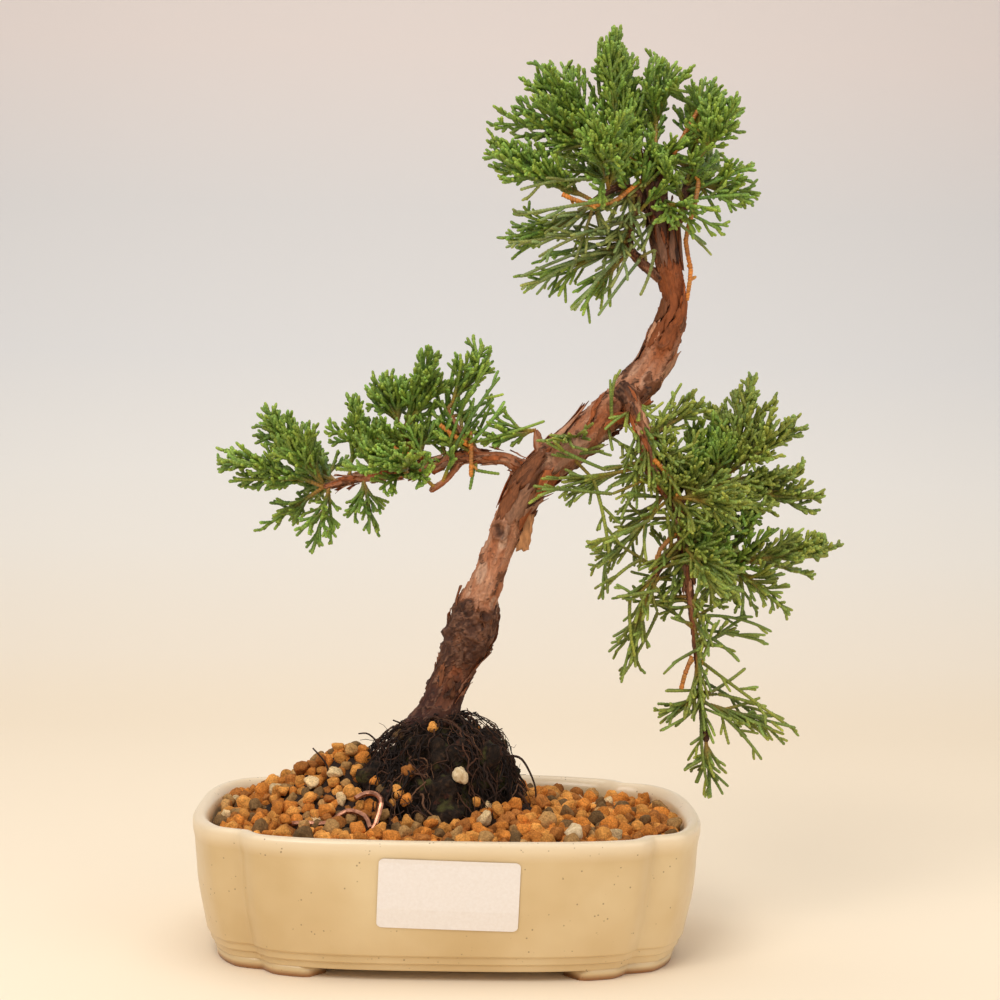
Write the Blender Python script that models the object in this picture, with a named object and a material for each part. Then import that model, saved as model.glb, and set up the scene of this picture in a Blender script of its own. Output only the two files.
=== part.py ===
"""Bonsai juniper in a four-lobed glazed pot.

Every number below is in millimetres and is scaled to metres when a mesh is made.
The pot's centre is the working origin; at the end the whole tree is moved so that the
bottom centre of its bounding box lies at the world origin.
+X runs to the right along the pot, +Y to the back, +Z up. The sticker faces -Y.
"""

import math

import bmesh
import bpy
from mathutils import Matrix, Vector, noise
from mathutils.bvhtree import BVHTree

MM = 0.001
GAP = 0.3                     # clearance left between neighbouring solids

# ---- pot -------------------------------------------------------------------------------
RIM_HALF_WIDTH = 97.5
RIM_HALF_DEPTH = 68.0
LOBE_POWER = 3.35             # superellipse power: squarish plan with rounded sides
GROOVE_ANGLE = math.radians(34.6)      # where the end lobes meet the long lobes
GROOVE_HALF_ANGLE = math.radians(5.5)
GROOVE_DEPTH = 0.044          # share of the radius
FOOT_HEIGHT = 4.0
FLOOR_TOP = 9.0
RIM_HEIGHT = 53.0
# (inset from the rim outline, height) up the outside, over the lip and down the inside
POT_PROFILE = (
    (20.0, 4.0), (8.4, 4.0), (8.2, 6.6), (7.0, 7.2), (6.9, 9.6), (5.8, 10.4),
    (2.4, 28.0), (1.0, 45.0), (0.4, 47.5), (0.0, 50.0), (0.9, 52.2), (2.8, 53.0),
    (4.8, 52.4), (6.0, 50.0), (6.8, 44.0), (13.5, 13.0), (17.0, 9.0),
)
FOOT_ANGLES = (math.radians(16.0), math.radians(48.0))
FOOT_OUTER_INSET = 9.4
FOOT_INNER_INSET = 18.5
DRAIN_HOLE_X = 42.0
DRAIN_HOLE_RADIUS = 6.5

# ---- sticker ---------------------------------------------------------------------------
LABEL_WIDTH = 50.8
LABEL_HEIGHT = 25.4
LABEL_CORNER = 2.0
LABEL_THICKNESS = 0.25
LABEL_CENTRE = (0.6, 33.6)   # along the wall, height
LABEL_TILT = math.radians(-1.3)
LABEL_ROWS = (-1.0, -0.72, -0.45, 0.0, 0.5, 0.88, 1.0)   # shares of the half height

# ---- fill and roots --------------------------------------------------------------------
SOIL_CLEARANCE = 0.35
SOIL_BOTTOM = FLOOR_TOP + GAP
SOIL_RIM_LEVEL = 46.0
# heaps of fill: centre x, centre y, reach x, reach y, rise
HEAPS = ((-2.0, 3.0, 60.0, 42.0, 20.0), (-44.0, 7.0, 42.0, 36.0, 18.0))
ROOT_BALL_CENTRE = Vector((-8.0, 0.0, 50.0))
ROOT_BALL_RADII = (40.0, 33.0, 36.5)
ROOT_BALL_LEAN = 0.22         # the top is drawn to the right, under the trunk
ROOT_BALL_TOP = 87.0

# ---- trunk and branches: x, y, z, radius -------------------------------------------------
TRUNK = (
    (-9.1, 3.0, 80.1, 9.2), (-4.8, 3.0, 88.9, 7.4), (1.9, 3.5, 105.7, 6.8),
    (7.6, 3.5, 120.5, 9.0), (10.2, 2.5, 132.4, 7.9), (14.1, 1.0, 143.2, 6.4),
    (20.5, -1.0, 162.0, 6.2), (26.1, -2.0, 174.9, 6.6), (34.3, -2.0, 184.9, 7.6),
    (49.6, -1.0, 198.4, 7.0), (59.5, 0.0, 207.4, 7.4), (69.1, 1.0, 216.5, 7.4),
    (77.0, 2.0, 227.1, 6.8), (81.9, 2.0, 239.2, 6.2), (84.4, 1.0, 250.2, 5.2),
    (82.3, 0.0, 261.2, 5.4), (79.6, 0.0, 274.9, 5.0), (77.4, 0.0, 285.5, 4.0),
    (75.4, 0.0, 296.6, 3.8), (75.5, 0.0, 309.8, 3.9),
)
LEFT_BRANCH = (
    (32.8, -1.0, 183.9, 4.0), (24.8, -1.0, 186.4, 3.2), (19.4, -1.0, 188.9, 2.7),
    (8.0, -1.0, 189.5, 2.5), (-0.9, 0.0, 188.6, 2.4), (-9.8, 0.5, 185.1, 2.2),
    (-20.7, 0.0, 182.1, 2.0), (-29.5, -0.5, 181.1, 1.8), (-42.1, 0.0, 178.9, 1.5),
    (-51.0, 0.0, 176.2, 1.2),
)
RIGHT_BRANCH = (
    (63.9, -2.0, 215.8, 5.0), (67.8, -6.0, 211.6, 3.8), (72.7, -9.0, 198.9, 3.1),
    (77.6, -9.0, 183.4, 2.7), (86.0, -7.0, 170.5, 2.4), (88.8, -6.0, 159.1, 2.1),
    (91.6, -5.0, 142.7, 1.8), (94.2, -4.0, 127.8, 1.5), (96.5, -3.0, 110.0, 1.2),
    (98.5, -2.0, 94.1, 1.0), (100.9, -1.0, 79.3, 0.8),
)
SIDE_WOOD = {
    "left_stub": ((1.8, 0.0, 187.0, 1.6), (-3.2, -1.0, 180.5, 1.3), (-9.6, -2.0, 175.5, 1.0)),
    "knot_stub": ((34.7, -2.0, 186.9, 3.0), (32.2, -3.0, 194.3, 2.2), (31.2, -3.0, 200.3, 1.1)),
    "fork_left": ((88.6, -6.0, 157.6, 1.8), (82.5, -8.0, 152.1, 1.6), (76.9, -9.0, 142.6, 1.1)),
    "left_upper_twig": ((-11.2, 0.5, 185.1, 1.4), (-17.2, 1.0, 193.1, 1.1), (-22.2, 1.0, 201.1, 0.8)),
    "left_dead_twig": ((9.8, -1.0, 190.4, 1.2), (2.7, -3.0, 197.8, 1.0), (-3.3, -4.0, 207.8, 0.7)),
    "right_outer_twig": ((84.7, -7.0, 172.5, 1.8), (94.9, -2.0, 176.8, 1.4), (105.2, 2.0, 182.9, 1.0)),
    "right_low_twig": ((89.1, -6.0, 156.6, 1.5), (98.8, -2.0, 152.8, 1.2), (109.0, 2.0, 149.9, 0.9)),
    "crown_twig": ((78.3, 0.0, 260.2, 2.2), (70.1, -3.0, 266.6, 1.9), (65.7, -4.0, 272.6, 1.7),
                   (67.1, -4.0, 283.2, 1.5), (68.7, -5.0, 292.2, 1.4), (60.7, -8.0, 294.5, 1.3),
                   (50.8, -10.0, 288.3, 1.1)),
    "crown_upper_twig": ((74.4, 0.0, 300.7, 1.6), (67.4, 0.0, 304.7, 1.3), (58.3, -1.0, 312.2, 1.0)),
    "crown_back_twig": ((77.4, 0.0, 284.5, 1.8), (69.6, 8.0, 290.0, 1.4), (61.8, 15.0, 296.5, 1.0)),
    "crown_right_twig": ((79.4, 0.0, 276.4, 1.8), (85.5, 1.0, 283.5, 1.4), (87.6, 2.0, 293.7, 1.1),
                         (89.7, 2.0, 303.9, 0.9)),
}

# ---- foliage: one plume of shoots for each entry: base, tip, width, thickness -------------
TOP_SPRAYS = (
    ((67, 1, 310), (52, 3, 355), 30, 28), ((57, 0, 314), (27, 2, 343), 30, 30),
    ((55, -3, 310), (13, -6, 323), 28, 28), ((51, -8, 291), (8, -6, 304), 28, 26),
    ((76, 2, 313), (76, 5, 347), 26, 26), ((88, 3, 307), (99, 4, 336), 28, 14),
    ((83, -3, 298), (105, -8, 329), 18, 22), ((88, 2, 291), (115, 0, 301), 26, 20),
    ((57, -8, 289), (19, 2, 273), 22, 22), ((63, -2, 279), (26, 0, 255), 20, 22),
    ((65, -4, 271), (49, -4, 246), 22, 20), ((65, -8, 295), (44, -38, 307), 34, 30),
    ((62, 14, 298), (44, 40, 316), 36, 32), ((82, 6, 294), (99, 36, 310), 32, 28),
    ((81, -5, 289), (90, -28, 284), 24, 20),
)
LEFT_SPRAYS = (
    ((-52, 0, 177), (-91, 0, 184), 24, 24), ((-45, 0, 181), (-77, -4, 201), 22, 26),
    ((-52, 0, 174), (-79, 3, 162), 20, 22), ((-48, -1, 175), (-58, -6, 151), 16, 20),
    ((-35, -1, 178), (-31, -4, 158), 16, 16), ((-31, 1, 184), (-43, -4, 210), 24, 24),
    ((-22, 2, 203), (-30, 5, 218), 22, 26), ((-15, 2, 192), (-10, 0, 229), 24, 26),
    ((-2, -3, 205), (9, -5, 233), 18, 16), ((9, -2, 194), (35, -3, 210), 16, 14),
    ((-19, -3, 184), (-28, -36, 189), 34, 26), ((-19, 4, 185), (-26, 38, 199), 36, 30),
    ((-47, 3, 181), (-64, 34, 189), 30, 26),
)
RIGHT_SPRAYS = (
    ((95, 0, 181), (121, 4, 220), 26, 26), ((104, 1, 186), (134, -4, 203), 22, 26),
    ((99, 0, 176), (144, 5, 176), 24, 28), ((107, 1, 154), (151, 0, 152), 24, 26),
    ((101, -2, 149), (131, -6, 134), 22, 26), ((77, -8, 198), (96, -8, 214), 20, 20),
    ((70, -10, 202), (34, -15, 195), 14, 12), ((74, -11, 186), (30, -16, 178), 14, 12),
    ((78, -10, 174), (56, -12, 146), 24, 22), ((77, -10, 140), (66, -10, 103), 16, 16),
    ((85, -10, 176), (103, -42, 175), 34, 28), ((90, -9, 156), (99, -38, 139), 30, 26),
    ((91, -3, 177), (115, 36, 187), 34, 28), ((95, -3, 155), (116, 34, 148), 32, 28),
)
TAIL_SPRAYS = (
    ((100, -2, 77), (103, 0, 58), 14, 16), ((98, -3, 103), (134, -4, 83), 16, 16),
    ((96, -4, 107), (84, -6, 87), 14, 14),
)
SPRAY_SIDES = 10
SPRAY_RINGS = (0.14, 0.34, 0.56, 0.76, 0.92)
SPRAY_WIDTHS = (0.40, 0.78, 1.0, 0.86, 0.46)   # share of the half width at each ring
TIP_SPREAD = 0.20             # how far the finger ends stand out of the plume

# ---- loose things on the fill --------------------------------------------------------------
STONES = {"pale_stone_left": (4.5, -27.0, 3.2), "pale_stone_right": (46.0, -49.0, 3.6)}
TIE_WIRE = ((-62, -30), (-54, -33), (-45, -33), (-38, -31), (-31, -34), (-28, -38), (-25, -34),
            (-27, -29), (-31, -27), (-35, -29))
TIE_WIRE_RADIUS = 1.0


def material(name, colour, roughness, metallic=0.0):
    made = bpy.data.materials.get(name) or bpy.data.materials.new(name)
    made.use_nodes = True
    shader = made.node_tree.nodes["Principled BSDF"]
    shader.inputs["Base Color"].default_value = (*colour, 1.0)
    shader.inputs["Roughness"].default_value = roughness
    shader.inputs["Metallic"].default_value = metallic
    return made


def finish(name, bm, skin, smooth=True):
    """Turn a bmesh in millimetres into a named object in metres."""
    bmesh.ops.recalc_face_normals(bm, faces=bm.faces)
    bmesh.ops.scale(bm, vec=(MM, MM, MM), verts=bm.verts)
    mesh = bpy.data.meshes.new(name)
    bm.to_mesh(mesh)
    bm.free()
    if smooth:
        mesh.shade_smooth()
        mesh.set_sharp_from_angle(angle=math.radians(40))
    mesh.materials.append(skin)
    made = bpy.data.objects.new(name, mesh)
    bpy.context.collection.objects.link(made)
    return made


def boolean(target, tool, operation):
    """Join a helper to the target or cut it away; the helper itself is not a piece."""
    step = target.modifiers.new(tool.name, "BOOLEAN")
    step.object = tool
    step.operation = operation
    step.solver = "EXACT"
    tool.hide_render = True
    tool.display_type = "WIRE"


def bridge_rings(bm, rings, close_ends=True):
    """Faces between neighbouring rings of vertices, with a flat cap on both ends."""
    for low, high in zip(rings, rings[1:]):
        count = len(low)
        for i in range(count):
            j = (i + 1) % count
            bm.faces.new((low[i], low[j], high[j], high[i]))
    if close_ends:
        bm.faces.new(tuple(reversed(rings[0])))
        bm.faces.new(tuple(rings[-1]))


# ---- pot ---------------------------------------------------------------------------------

def plan_angles():
    """Directions around the pot, crowded at the four grooves."""
    first = [GROOVE_ANGLE * t for t in (0.0, 0.22, 0.44, 0.66, 0.84, 0.93, 1.0)]
    rest = [GROOVE_ANGLE + (math.pi / 2 - GROOVE_ANGLE) * t
            for t in (0.05, 0.1, 0.24, 0.42, 0.6, 0.8, 1.0)]
    quarter = first + rest
    half = quarter + [math.pi - a for a in reversed(quarter[:-1])]
    return half + [math.pi + a for a in half[1:-1]]


def plan_radius(angle, inset):
    """Distance from the centre to the pot's lobed outline, drawn in by the inset."""
    a = RIM_HALF_WIDTH - inset
    b = RIM_HALF_DEPTH - inset
    c, s = abs(math.cos(angle)), abs(math.sin(angle))
    radius = ((c / a) ** LOBE_POWER + (s / b) ** LOBE_POWER) ** (-1.0 / LOBE_POWER)
    folded = math.atan2(s, c)
    closeness = max(0.0, 1.0 - abs(folded - GROOVE_ANGLE) / GROOVE_HALF_ANGLE)
    return radius * (1.0 - GROOVE_DEPTH * closeness)


def plan_ring(bm, inset, z, angles):
    ring = []
    for angle in angles:
        r = plan_radius(angle, inset)
        ring.append(bm.verts.new((r * math.cos(angle), r * math.sin(angle), z)))
    return ring


def make_pot():
    glaze = material("cream_glaze", (0.72, 0.62, 0.43), 0.35)
    bm = bmesh.new()
    angles = plan_angles()
    rings = [plan_ring(bm, inset, z, angles) for inset, z in POT_PROFILE]
    bridge_rings(bm, rings)
    pot = finish("pot", bm, glaze)
    for number, (sx, sy) in enumerate(((1, 1), (-1, 1), (-1, -1), (1, -1))):
        boolean(pot, make_foot(f"foot_helper_{number}", sx, sy, glaze), "UNION")
    for number, x in enumerate((-DRAIN_HOLE_X, DRAIN_HOLE_X)):
        drill = bmesh.new()
        bmesh.ops.create_cone(drill, cap_ends=True, segments=20, radius1=DRAIN_HOLE_RADIUS,
                              radius2=DRAIN_HOLE_RADIUS, depth=20.0,
                              matrix=Matrix.Translation((x, 0.0, FLOOR_TOP - 3.0)))
        boolean(pot, finish(f"drain_drill_{number}", drill, glaze), "DIFFERENCE")
    return pot


def make_foot(name, sx, sy, skin):
    """A strip under one groove that follows the outline on both sides of it."""
    bm = bmesh.new()
    low, high = FOOT_ANGLES
    steps = 10
    sections = []
    for i in range(steps + 1):
        angle = low + (high - low) * i / steps
        column = []
        for inset, z in ((FOOT_OUTER_INSET, 0.0), (FOOT_OUTER_INSET - 0.6, FOOT_HEIGHT + 1.0),
                         (FOOT_INNER_INSET, FOOT_HEIGHT + 1.0), (FOOT_INNER_INSET, 0.0)):
            r = plan_radius(angle, inset)
            column.append(bm.verts.new((sx * r * math.cos(angle), sy * r * math.sin(angle), z)))
        sections.append(column)
    bridge_rings(bm, sections)
    return finish(name, bm, skin)


def wall_inset(z):
    """Inset of the outer wall between the base band and the lip, at a height."""
    wall = POT_PROFILE[5:10]
    for (inset_a, z_a), (inset_b, z_b) in zip(wall, wall[1:]):
        if z <= z_b:
            break
    return inset_a + (inset_b - inset_a) * (z - z_a) / (z_b - z_a)


def wall_depth(x, z):
    """Distance of the front wall from the pot's middle plane."""
    inset = wall_inset(z)
    a = RIM_HALF_WIDTH - inset
    b = RIM_HALF_DEPTH - inset
    return b * (1.0 - (abs(x) / a) ** LOBE_POWER) ** (1.0 / LOBE_POWER)


def make_label():
    """A blank rounded rectangle bent over the front wall."""
    bm = bmesh.new()
    columns = []
    corner = [(LABEL_CORNER * (1 - math.cos(t)), LABEL_CORNER * (1 - math.sin(t)))
              for t in (0.35, 0.8, 1.2, math.pi / 2)]
    left = [(-LABEL_WIDTH / 2 + dx, LABEL_HEIGHT / 2 - dz) for dx, dz in corner]
    middle = [(LABEL_WIDTH * t, LABEL_HEIGHT / 2) for t in (-0.3, -0.15, 0.0, 0.15, 0.3)]
    right = [(-x, h) for x, h in reversed(left)]
    for x, half in left + middle + right:
        for off in (GAP, GAP + LABEL_THICKNESS):
            for side in LABEL_ROWS:
                px = LABEL_CENTRE[0] + x * math.cos(LABEL_TILT) - side * half * math.sin(LABEL_TILT)
                pz = LABEL_CENTRE[1] + x * math.sin(LABEL_TILT) + side * half * math.cos(LABEL_TILT)
                columns.append(bm.verts.new((px, -wall_depth(px, pz) - off, pz)))
    rows = len(LABEL_ROWS)
    sections = [columns[i:i + rows] + columns[i + 2 * rows - 1:i + rows - 1:-1]
                for i in range(0, len(columns), 2 * rows)]
    bridge_rings(bm, sections)
    return finish("pot_label", bm, material("label_paper", (0.9, 0.87, 0.87), 0.5), smooth=False)


# ---- fill, roots and what lies on them -----------------------------------------------------

def soil_height(x, y):
    """Level of the fill: heaped round the root ball, lower along the back."""
    heap = 0.0
    for x0, y0, reach_x, reach_y, rise in HEAPS:
        dx, dy = (x - x0) / reach_x, (y - y0) / reach_y
        heap += rise * math.exp(-2.2 * (dx * dx + dy * dy))
    lump = 1.1 * noise.noise(Vector((x, y, 0.0)) * 0.11)
    return SOIL_RIM_LEVEL - 2.0 * (y / RIM_HALF_DEPTH) + heap + lump


def inner_inset(z):
    """Inset of the pot's inner wall at a height."""
    (inset_a, z_a), (inset_b, z_b), (inset_c, z_c) = POT_PROFILE[14:17]
    if z > z_b:
        return inset_b + (inset_a - inset_b) * (z - z_b) / (z_a - z_b)
    return inset_c + (inset_b - inset_c) * (z - z_c) / (z_b - z_c)


def make_soil():
    """Rings of vertices from the floor up the wall and in over the heaped top."""
    bm = bmesh.new()
    angles = plan_angles()
    clear = SOIL_CLEARANCE
    rings = []
    for z in (SOIL_BOTTOM, 13.4, 30.0):
        rings.append(plan_ring(bm, inner_inset(z) + clear, z, angles))
    for share in (1.0, 0.9, 0.78, 0.64, 0.5, 0.36, 0.2, 0.07):
        ring = []
        for angle in angles:
            r = plan_radius(angle, inner_inset(42.0) + clear + 0.6) * share
            x, y = r * math.cos(angle), r * math.sin(angle)
            ring.append(bm.verts.new((x, y, soil_height(x, y))))
        rings.append(ring)
    bridge_rings(bm, rings)
    skin = material("fired_clay_grains", (0.50, 0.25, 0.09), 0.9)
    soil = finish("soil_bed", bm, skin)
    boolean(soil, root_ball_solid("root_ball_room", GAP, skin), "DIFFERENCE")
    for number, x in enumerate((-DRAIN_HOLE_X, DRAIN_HOLE_X)):
        room = bmesh.new()
        bmesh.ops.create_cube(room, size=1.0, matrix=Matrix.Translation((x, 0.0, FLOOR_TOP + 1.0))
                              @ Matrix.Diagonal((MESH_SIDE + 1.0, MESH_SIDE + 1.0, 5.0, 1.0)))
        boolean(soil, finish(f"mesh_room_{number}", room, skin), "DIFFERENCE")
    return soil


def root_ball_solid(name, grow, skin):
    """A lumpy ball of old roots, drawn up to a point round the trunk's foot."""
    bm = bmesh.new()
    bmesh.ops.create_uvsphere(bm, u_segments=24, v_segments=14, radius=1.0)
    bmesh.ops.triangulate(bm, faces=bm.faces)
    for vert in bm.verts:
        d = vert.co.normalized()
        lump = 1.0 + 0.10 * noise.noise(d * 2.6) + 0.05 * noise.noise(d * 7.0)
        radii = [r * lump + grow for r in ROOT_BALL_RADII]
        point = Vector((d.x * radii[0], d.y * radii[1], d.z * radii[2]))
        if d.z > 0.0:
            narrow = 1.0 - 0.30 * d.z * (1.0 - d.z) * 2.0
            point.x *= narrow
            point.y *= narrow
        point.x += ROOT_BALL_LEAN * point.z
        point += ROOT_BALL_CENTRE
        point.z = max(point.z, SOIL_BOTTOM + 6.0 - grow)
        vert.co = point
    bmesh.ops.remove_doubles(bm, verts=bm.verts, dist=0.01)
    return finish(name, bm, skin)


def make_root_ball():
    skin = material("dark_roots", (0.035, 0.022, 0.014), 0.95)
    ball = root_ball_solid("root_ball", 0.0, skin)
    foot = [(x, y, z, r + 2 * GAP) for x, y, z, r in TRUNK[:4]]
    foot[0] = (foot[0][0] - 0.2, foot[0][1], foot[0][2] - GAP, foot[0][3])
    room = finish("trunk_foot_room", tube(foot, TRUNK_SIDES, 5, bump=TRUNK_BUMP), skin)
    boolean(ball, room, "DIFFERENCE")
    return ball


def surface_top(surface, x, y, reach):
    """Highest point of the listed surfaces within reach of a place."""
    here = Vector((x, y))
    return max((p.z for p in surface if (p.xy - here).length < reach), default=SOIL_RIM_LEVEL)


def surface_tree(solid, graph):
    mesh = solid.evaluated_get(graph).data
    return BVHTree.FromPolygons([solid.matrix_world @ v.co / MM for v in mesh.vertices],
                                [list(f.vertices) for f in mesh.polygons])


def lowered(points, trees):
    """How far points can come straight down before they meet the fill or the mound."""
    down = 0.0
    while all(tree.find_nearest(p - Vector((0.0, 0.0, down)))[3] > GAP + 0.1
              for tree in trees for p in points):
        down += 0.1
    return down - 0.1


def make_stones(trees):
    pale = material("pale_stone", (0.72, 0.62, 0.44), 0.8)
    for name, (x, y, radius) in STONES.items():
        bm = bmesh.new()
        bmesh.ops.create_icosphere(bm, subdivisions=2, radius=radius)
        for vert in bm.verts:
            vert.co *= 1.0 + 0.28 * noise.noise(vert.co * 0.45 + Vector((x, y, 0.0)))
        bmesh.ops.translate(bm, vec=(x, y, ROOT_BALL_TOP + 12.0), verts=bm.verts)
        down = lowered([v.co.copy() for v in bm.verts], trees)
        bmesh.ops.translate(bm, vec=(0.0, 0.0, -down), verts=bm.verts)
        finish(name, bm, pale)


def make_tie_wire(surface):
    """Copper wire that comes over the fill and ends in a small loop."""
    lift = TIE_WIRE_RADIUS + GAP
    path = []
    for number, (x, y) in enumerate(TIE_WIRE):
        rise = 2.4 if number >= 7 else 0.0     # the end of the loop lies over its start
        path.append((x, y, surface_top(surface, x, y, 9.0) + lift + rise, TIE_WIRE_RADIUS))
    wire = tube(path, 8, 3)
    finish("tie_wire", wire, material("copper", (0.62, 0.28, 0.16), 0.35, 1.0))


# ---- drainage --------------------------------------------------------------------------------

MESH_SIDE = 22.0
MESH_CELLS = 9                # alternate cells are open, so there are 4 by 4 holes
MESH_THICKNESS = 0.8
CLIP_RADIUS = 0.6


def make_drain_mesh(name, x0):
    bm = bmesh.new()
    pitch = MESH_SIDE / MESH_CELLS
    corner = Vector((x0 - MESH_SIDE / 2, -MESH_SIDE / 2, FLOOR_TOP + GAP))
    grid = [[bm.verts.new(corner + Vector((i * pitch, j * pitch, 0.0)))
             for j in range(MESH_CELLS + 1)] for i in range(MESH_CELLS + 1)]
    for i in range(MESH_CELLS):
        for j in range(MESH_CELLS):
            if i % 2 == 0 or j % 2 == 0:
                bm.faces.new((grid[i][j], grid[i + 1][j], grid[i + 1][j + 1], grid[i][j + 1]))
    solid = bmesh.ops.extrude_face_region(bm, geom=list(bm.faces))
    moved = [item for item in solid["geom"] if isinstance(item, bmesh.types.BMVert)]
    bmesh.ops.translate(bm, vec=(0.0, 0.0, MESH_THICKNESS), verts=moved)
    finish(name, bm, material("black_plastic", (0.02, 0.02, 0.02), 0.6), smooth=False)


def make_clip(name, x0):
    """A bent wire over the mesh whose two legs go down through the drainage hole."""
    top = FLOOR_TOP + 2 * GAP + MESH_THICKNESS + CLIP_RADIUS
    pitch = MESH_SIDE / MESH_CELLS
    leg = pitch
    route = ((x0 - leg, top - 8.5), (x0 - leg, top - 2.0), (x0 - leg * 0.75, top),
             (x0 + leg * 0.75, top), (x0 + leg, top - 2.0), (x0 + leg, top - 8.5))
    path = [(x, pitch, z, CLIP_RADIUS) for x, z in route]
    finish(name, tube(path, 6, 3), material("aluminium_wire", (0.7, 0.7, 0.7), 0.4, 1.0))


# ---- wood ------------------------------------------------------------------------------------

TRUNK_SIDES = 14
TRUNK_BUMP = 0.09


def smooth_route(points, per_span):
    """Catmull-Rom curve through (x, y, z, radius) points."""
    padded = [points[0]] + list(points) + [points[-1]]
    out = []
    for p0, p1, p2, p3 in zip(padded, padded[1:], padded[2:], padded[3:]):
        for step in range(per_span):
            t = step / per_span
            out.append([0.5 * (2 * b + (c - a) * t + (2 * a - 5 * b + 4 * c - d) * t * t
                               + (3 * b - a - 3 * c + d) * t ** 3)
                        for a, b, c, d in zip(p0, p1, p2, p3)])
    out.append(list(points[-1]))
    return out


def tube(points, sides, per_span, bump=0.0):
    """A swept round bar with a radius that changes along it, as a closed bmesh."""
    route = smooth_route(points, per_span)
    centres = [Vector(p[:3]) for p in route]
    bm = bmesh.new()
    side = None
    rings = []
    for i, here in enumerate(centres):
        before = centres[max(i - 1, 0)]
        after = centres[min(i + 1, len(centres) - 1)]
        along = (after - before).normalized()
        if side is None:
            side = along.orthogonal().normalized()
        side = (side - along * side.dot(along)).normalized()
        other = along.cross(side)
        ring = []
        for k in range(sides):
            angle = math.tau * k / sides
            out = side * math.cos(angle) + other * math.sin(angle)
            rough = 1.0 + bump * noise.noise((here + out * 9.0) * 0.16)
            ring.append(bm.verts.new(here + out * route[i][3] * rough))
        rings.append(ring)
    bridge_rings(bm, rings)
    return bm


def make_trunk():
    bark = material("juniper_bark", (0.32, 0.13, 0.06), 0.8)
    trunk = finish("trunk", tube(TRUNK, TRUNK_SIDES, 3, bump=TRUNK_BUMP), bark)
    branches = {"left_branch": (LEFT_BRANCH, 8, 2), "right_branch": (RIGHT_BRANCH, 8, 2)}
    for name, points in SIDE_WOOD.items():
        branches[name] = (points, 6, 2)
    for name, (points, sides, per_span) in branches.items():
        helper = finish(name, tube(points, sides, per_span), bark)
        boolean(trunk, helper, "UNION")
    return trunk


def wood_spheres():
    """Balls along all the wood; together they cover it."""
    balls = []
    for points in (TRUNK, LEFT_BRANCH, RIGHT_BRANCH, *SIDE_WOOD.values()):
        for x, y, z, r in smooth_route(points, 8):
            balls.append((Vector((x, y, z)), r * (1.0 + TRUNK_BUMP)))
    return balls


FLAKE_TOP = Vector((30.0, -3.5, 167.5))
FLAKE_LENGTH = 14.0
FLAKE_WIDTH = 4.2


def make_loose_wood(balls):
    """A curl of bark that has come off the trunk, and a dead twig hung over the branch."""
    flake = bmesh.new()
    for along in range(5):
        t = along / 4
        y, z = FLAKE_TOP.y - 1.0 * t, FLAKE_TOP.z - FLAKE_LENGTH * t
        x = FLAKE_TOP.x - 14.0
        while any((Vector((x, y - k, z)) - centre).length < r + GAP + 0.2
                  for centre, r in balls for k in (0.0, 0.7)):
            x += 0.1
        for across in range(3):
            w = across / 2
            flake.verts.new((x + FLAKE_WIDTH * w, y - 2.4 * w * (1.0 - w), z - 0.6 * w))
    flake.verts.ensure_lookup_table()
    for along in range(4):
        for across in range(2):
            k = along * 3 + across
            flake.faces.new([flake.verts[i] for i in (k, k + 1, k + 4, k + 3)])
    solid = bmesh.ops.extrude_face_region(flake, geom=list(flake.faces))
    moved = [item for item in solid["geom"] if isinstance(item, bmesh.types.BMVert)]
    bmesh.ops.translate(flake, vec=(0.0, -0.7, 0.0), verts=moved)
    finish("bark_flake", flake, material("juniper_bark", (0.32, 0.13, 0.06), 0.8))
    twig = ((5.5, -4.0, 199.0, 0.6), (5.9, -5.0, 195.5, 0.8), (6.3, -5.2, 189.0, 0.8),
            (6.7, -4.2, 182.0, 0.7))
    finish("dead_twig", tube(twig, 6, 3), material("dead_wood", (0.55, 0.25, 0.06), 0.8))


# ---- foliage ---------------------------------------------------------------------------------

def site_of(base, tip):
    return base.lerp(tip, 0.58)


def cell_planes(site, others, balls):
    """Planes that keep a plume in the convex space nearer to it than to its neighbours."""
    planes = []
    for other in others:
        away = other - site
        planes.append((away.normalized(), away.length / 2 - GAP / 2))
    for centre, radius in balls:
        away = centre - site
        planes.append((away.normalized(), away.length - radius - GAP))
    return planes


def keep_inside(point, site, planes):
    ray = point - site
    share = 1.0
    for normal, limit in planes:
        reach = ray.dot(normal)
        if reach > limit:
            share = min(share, max(limit, 0.05) / reach)
    return site + ray * share


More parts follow.
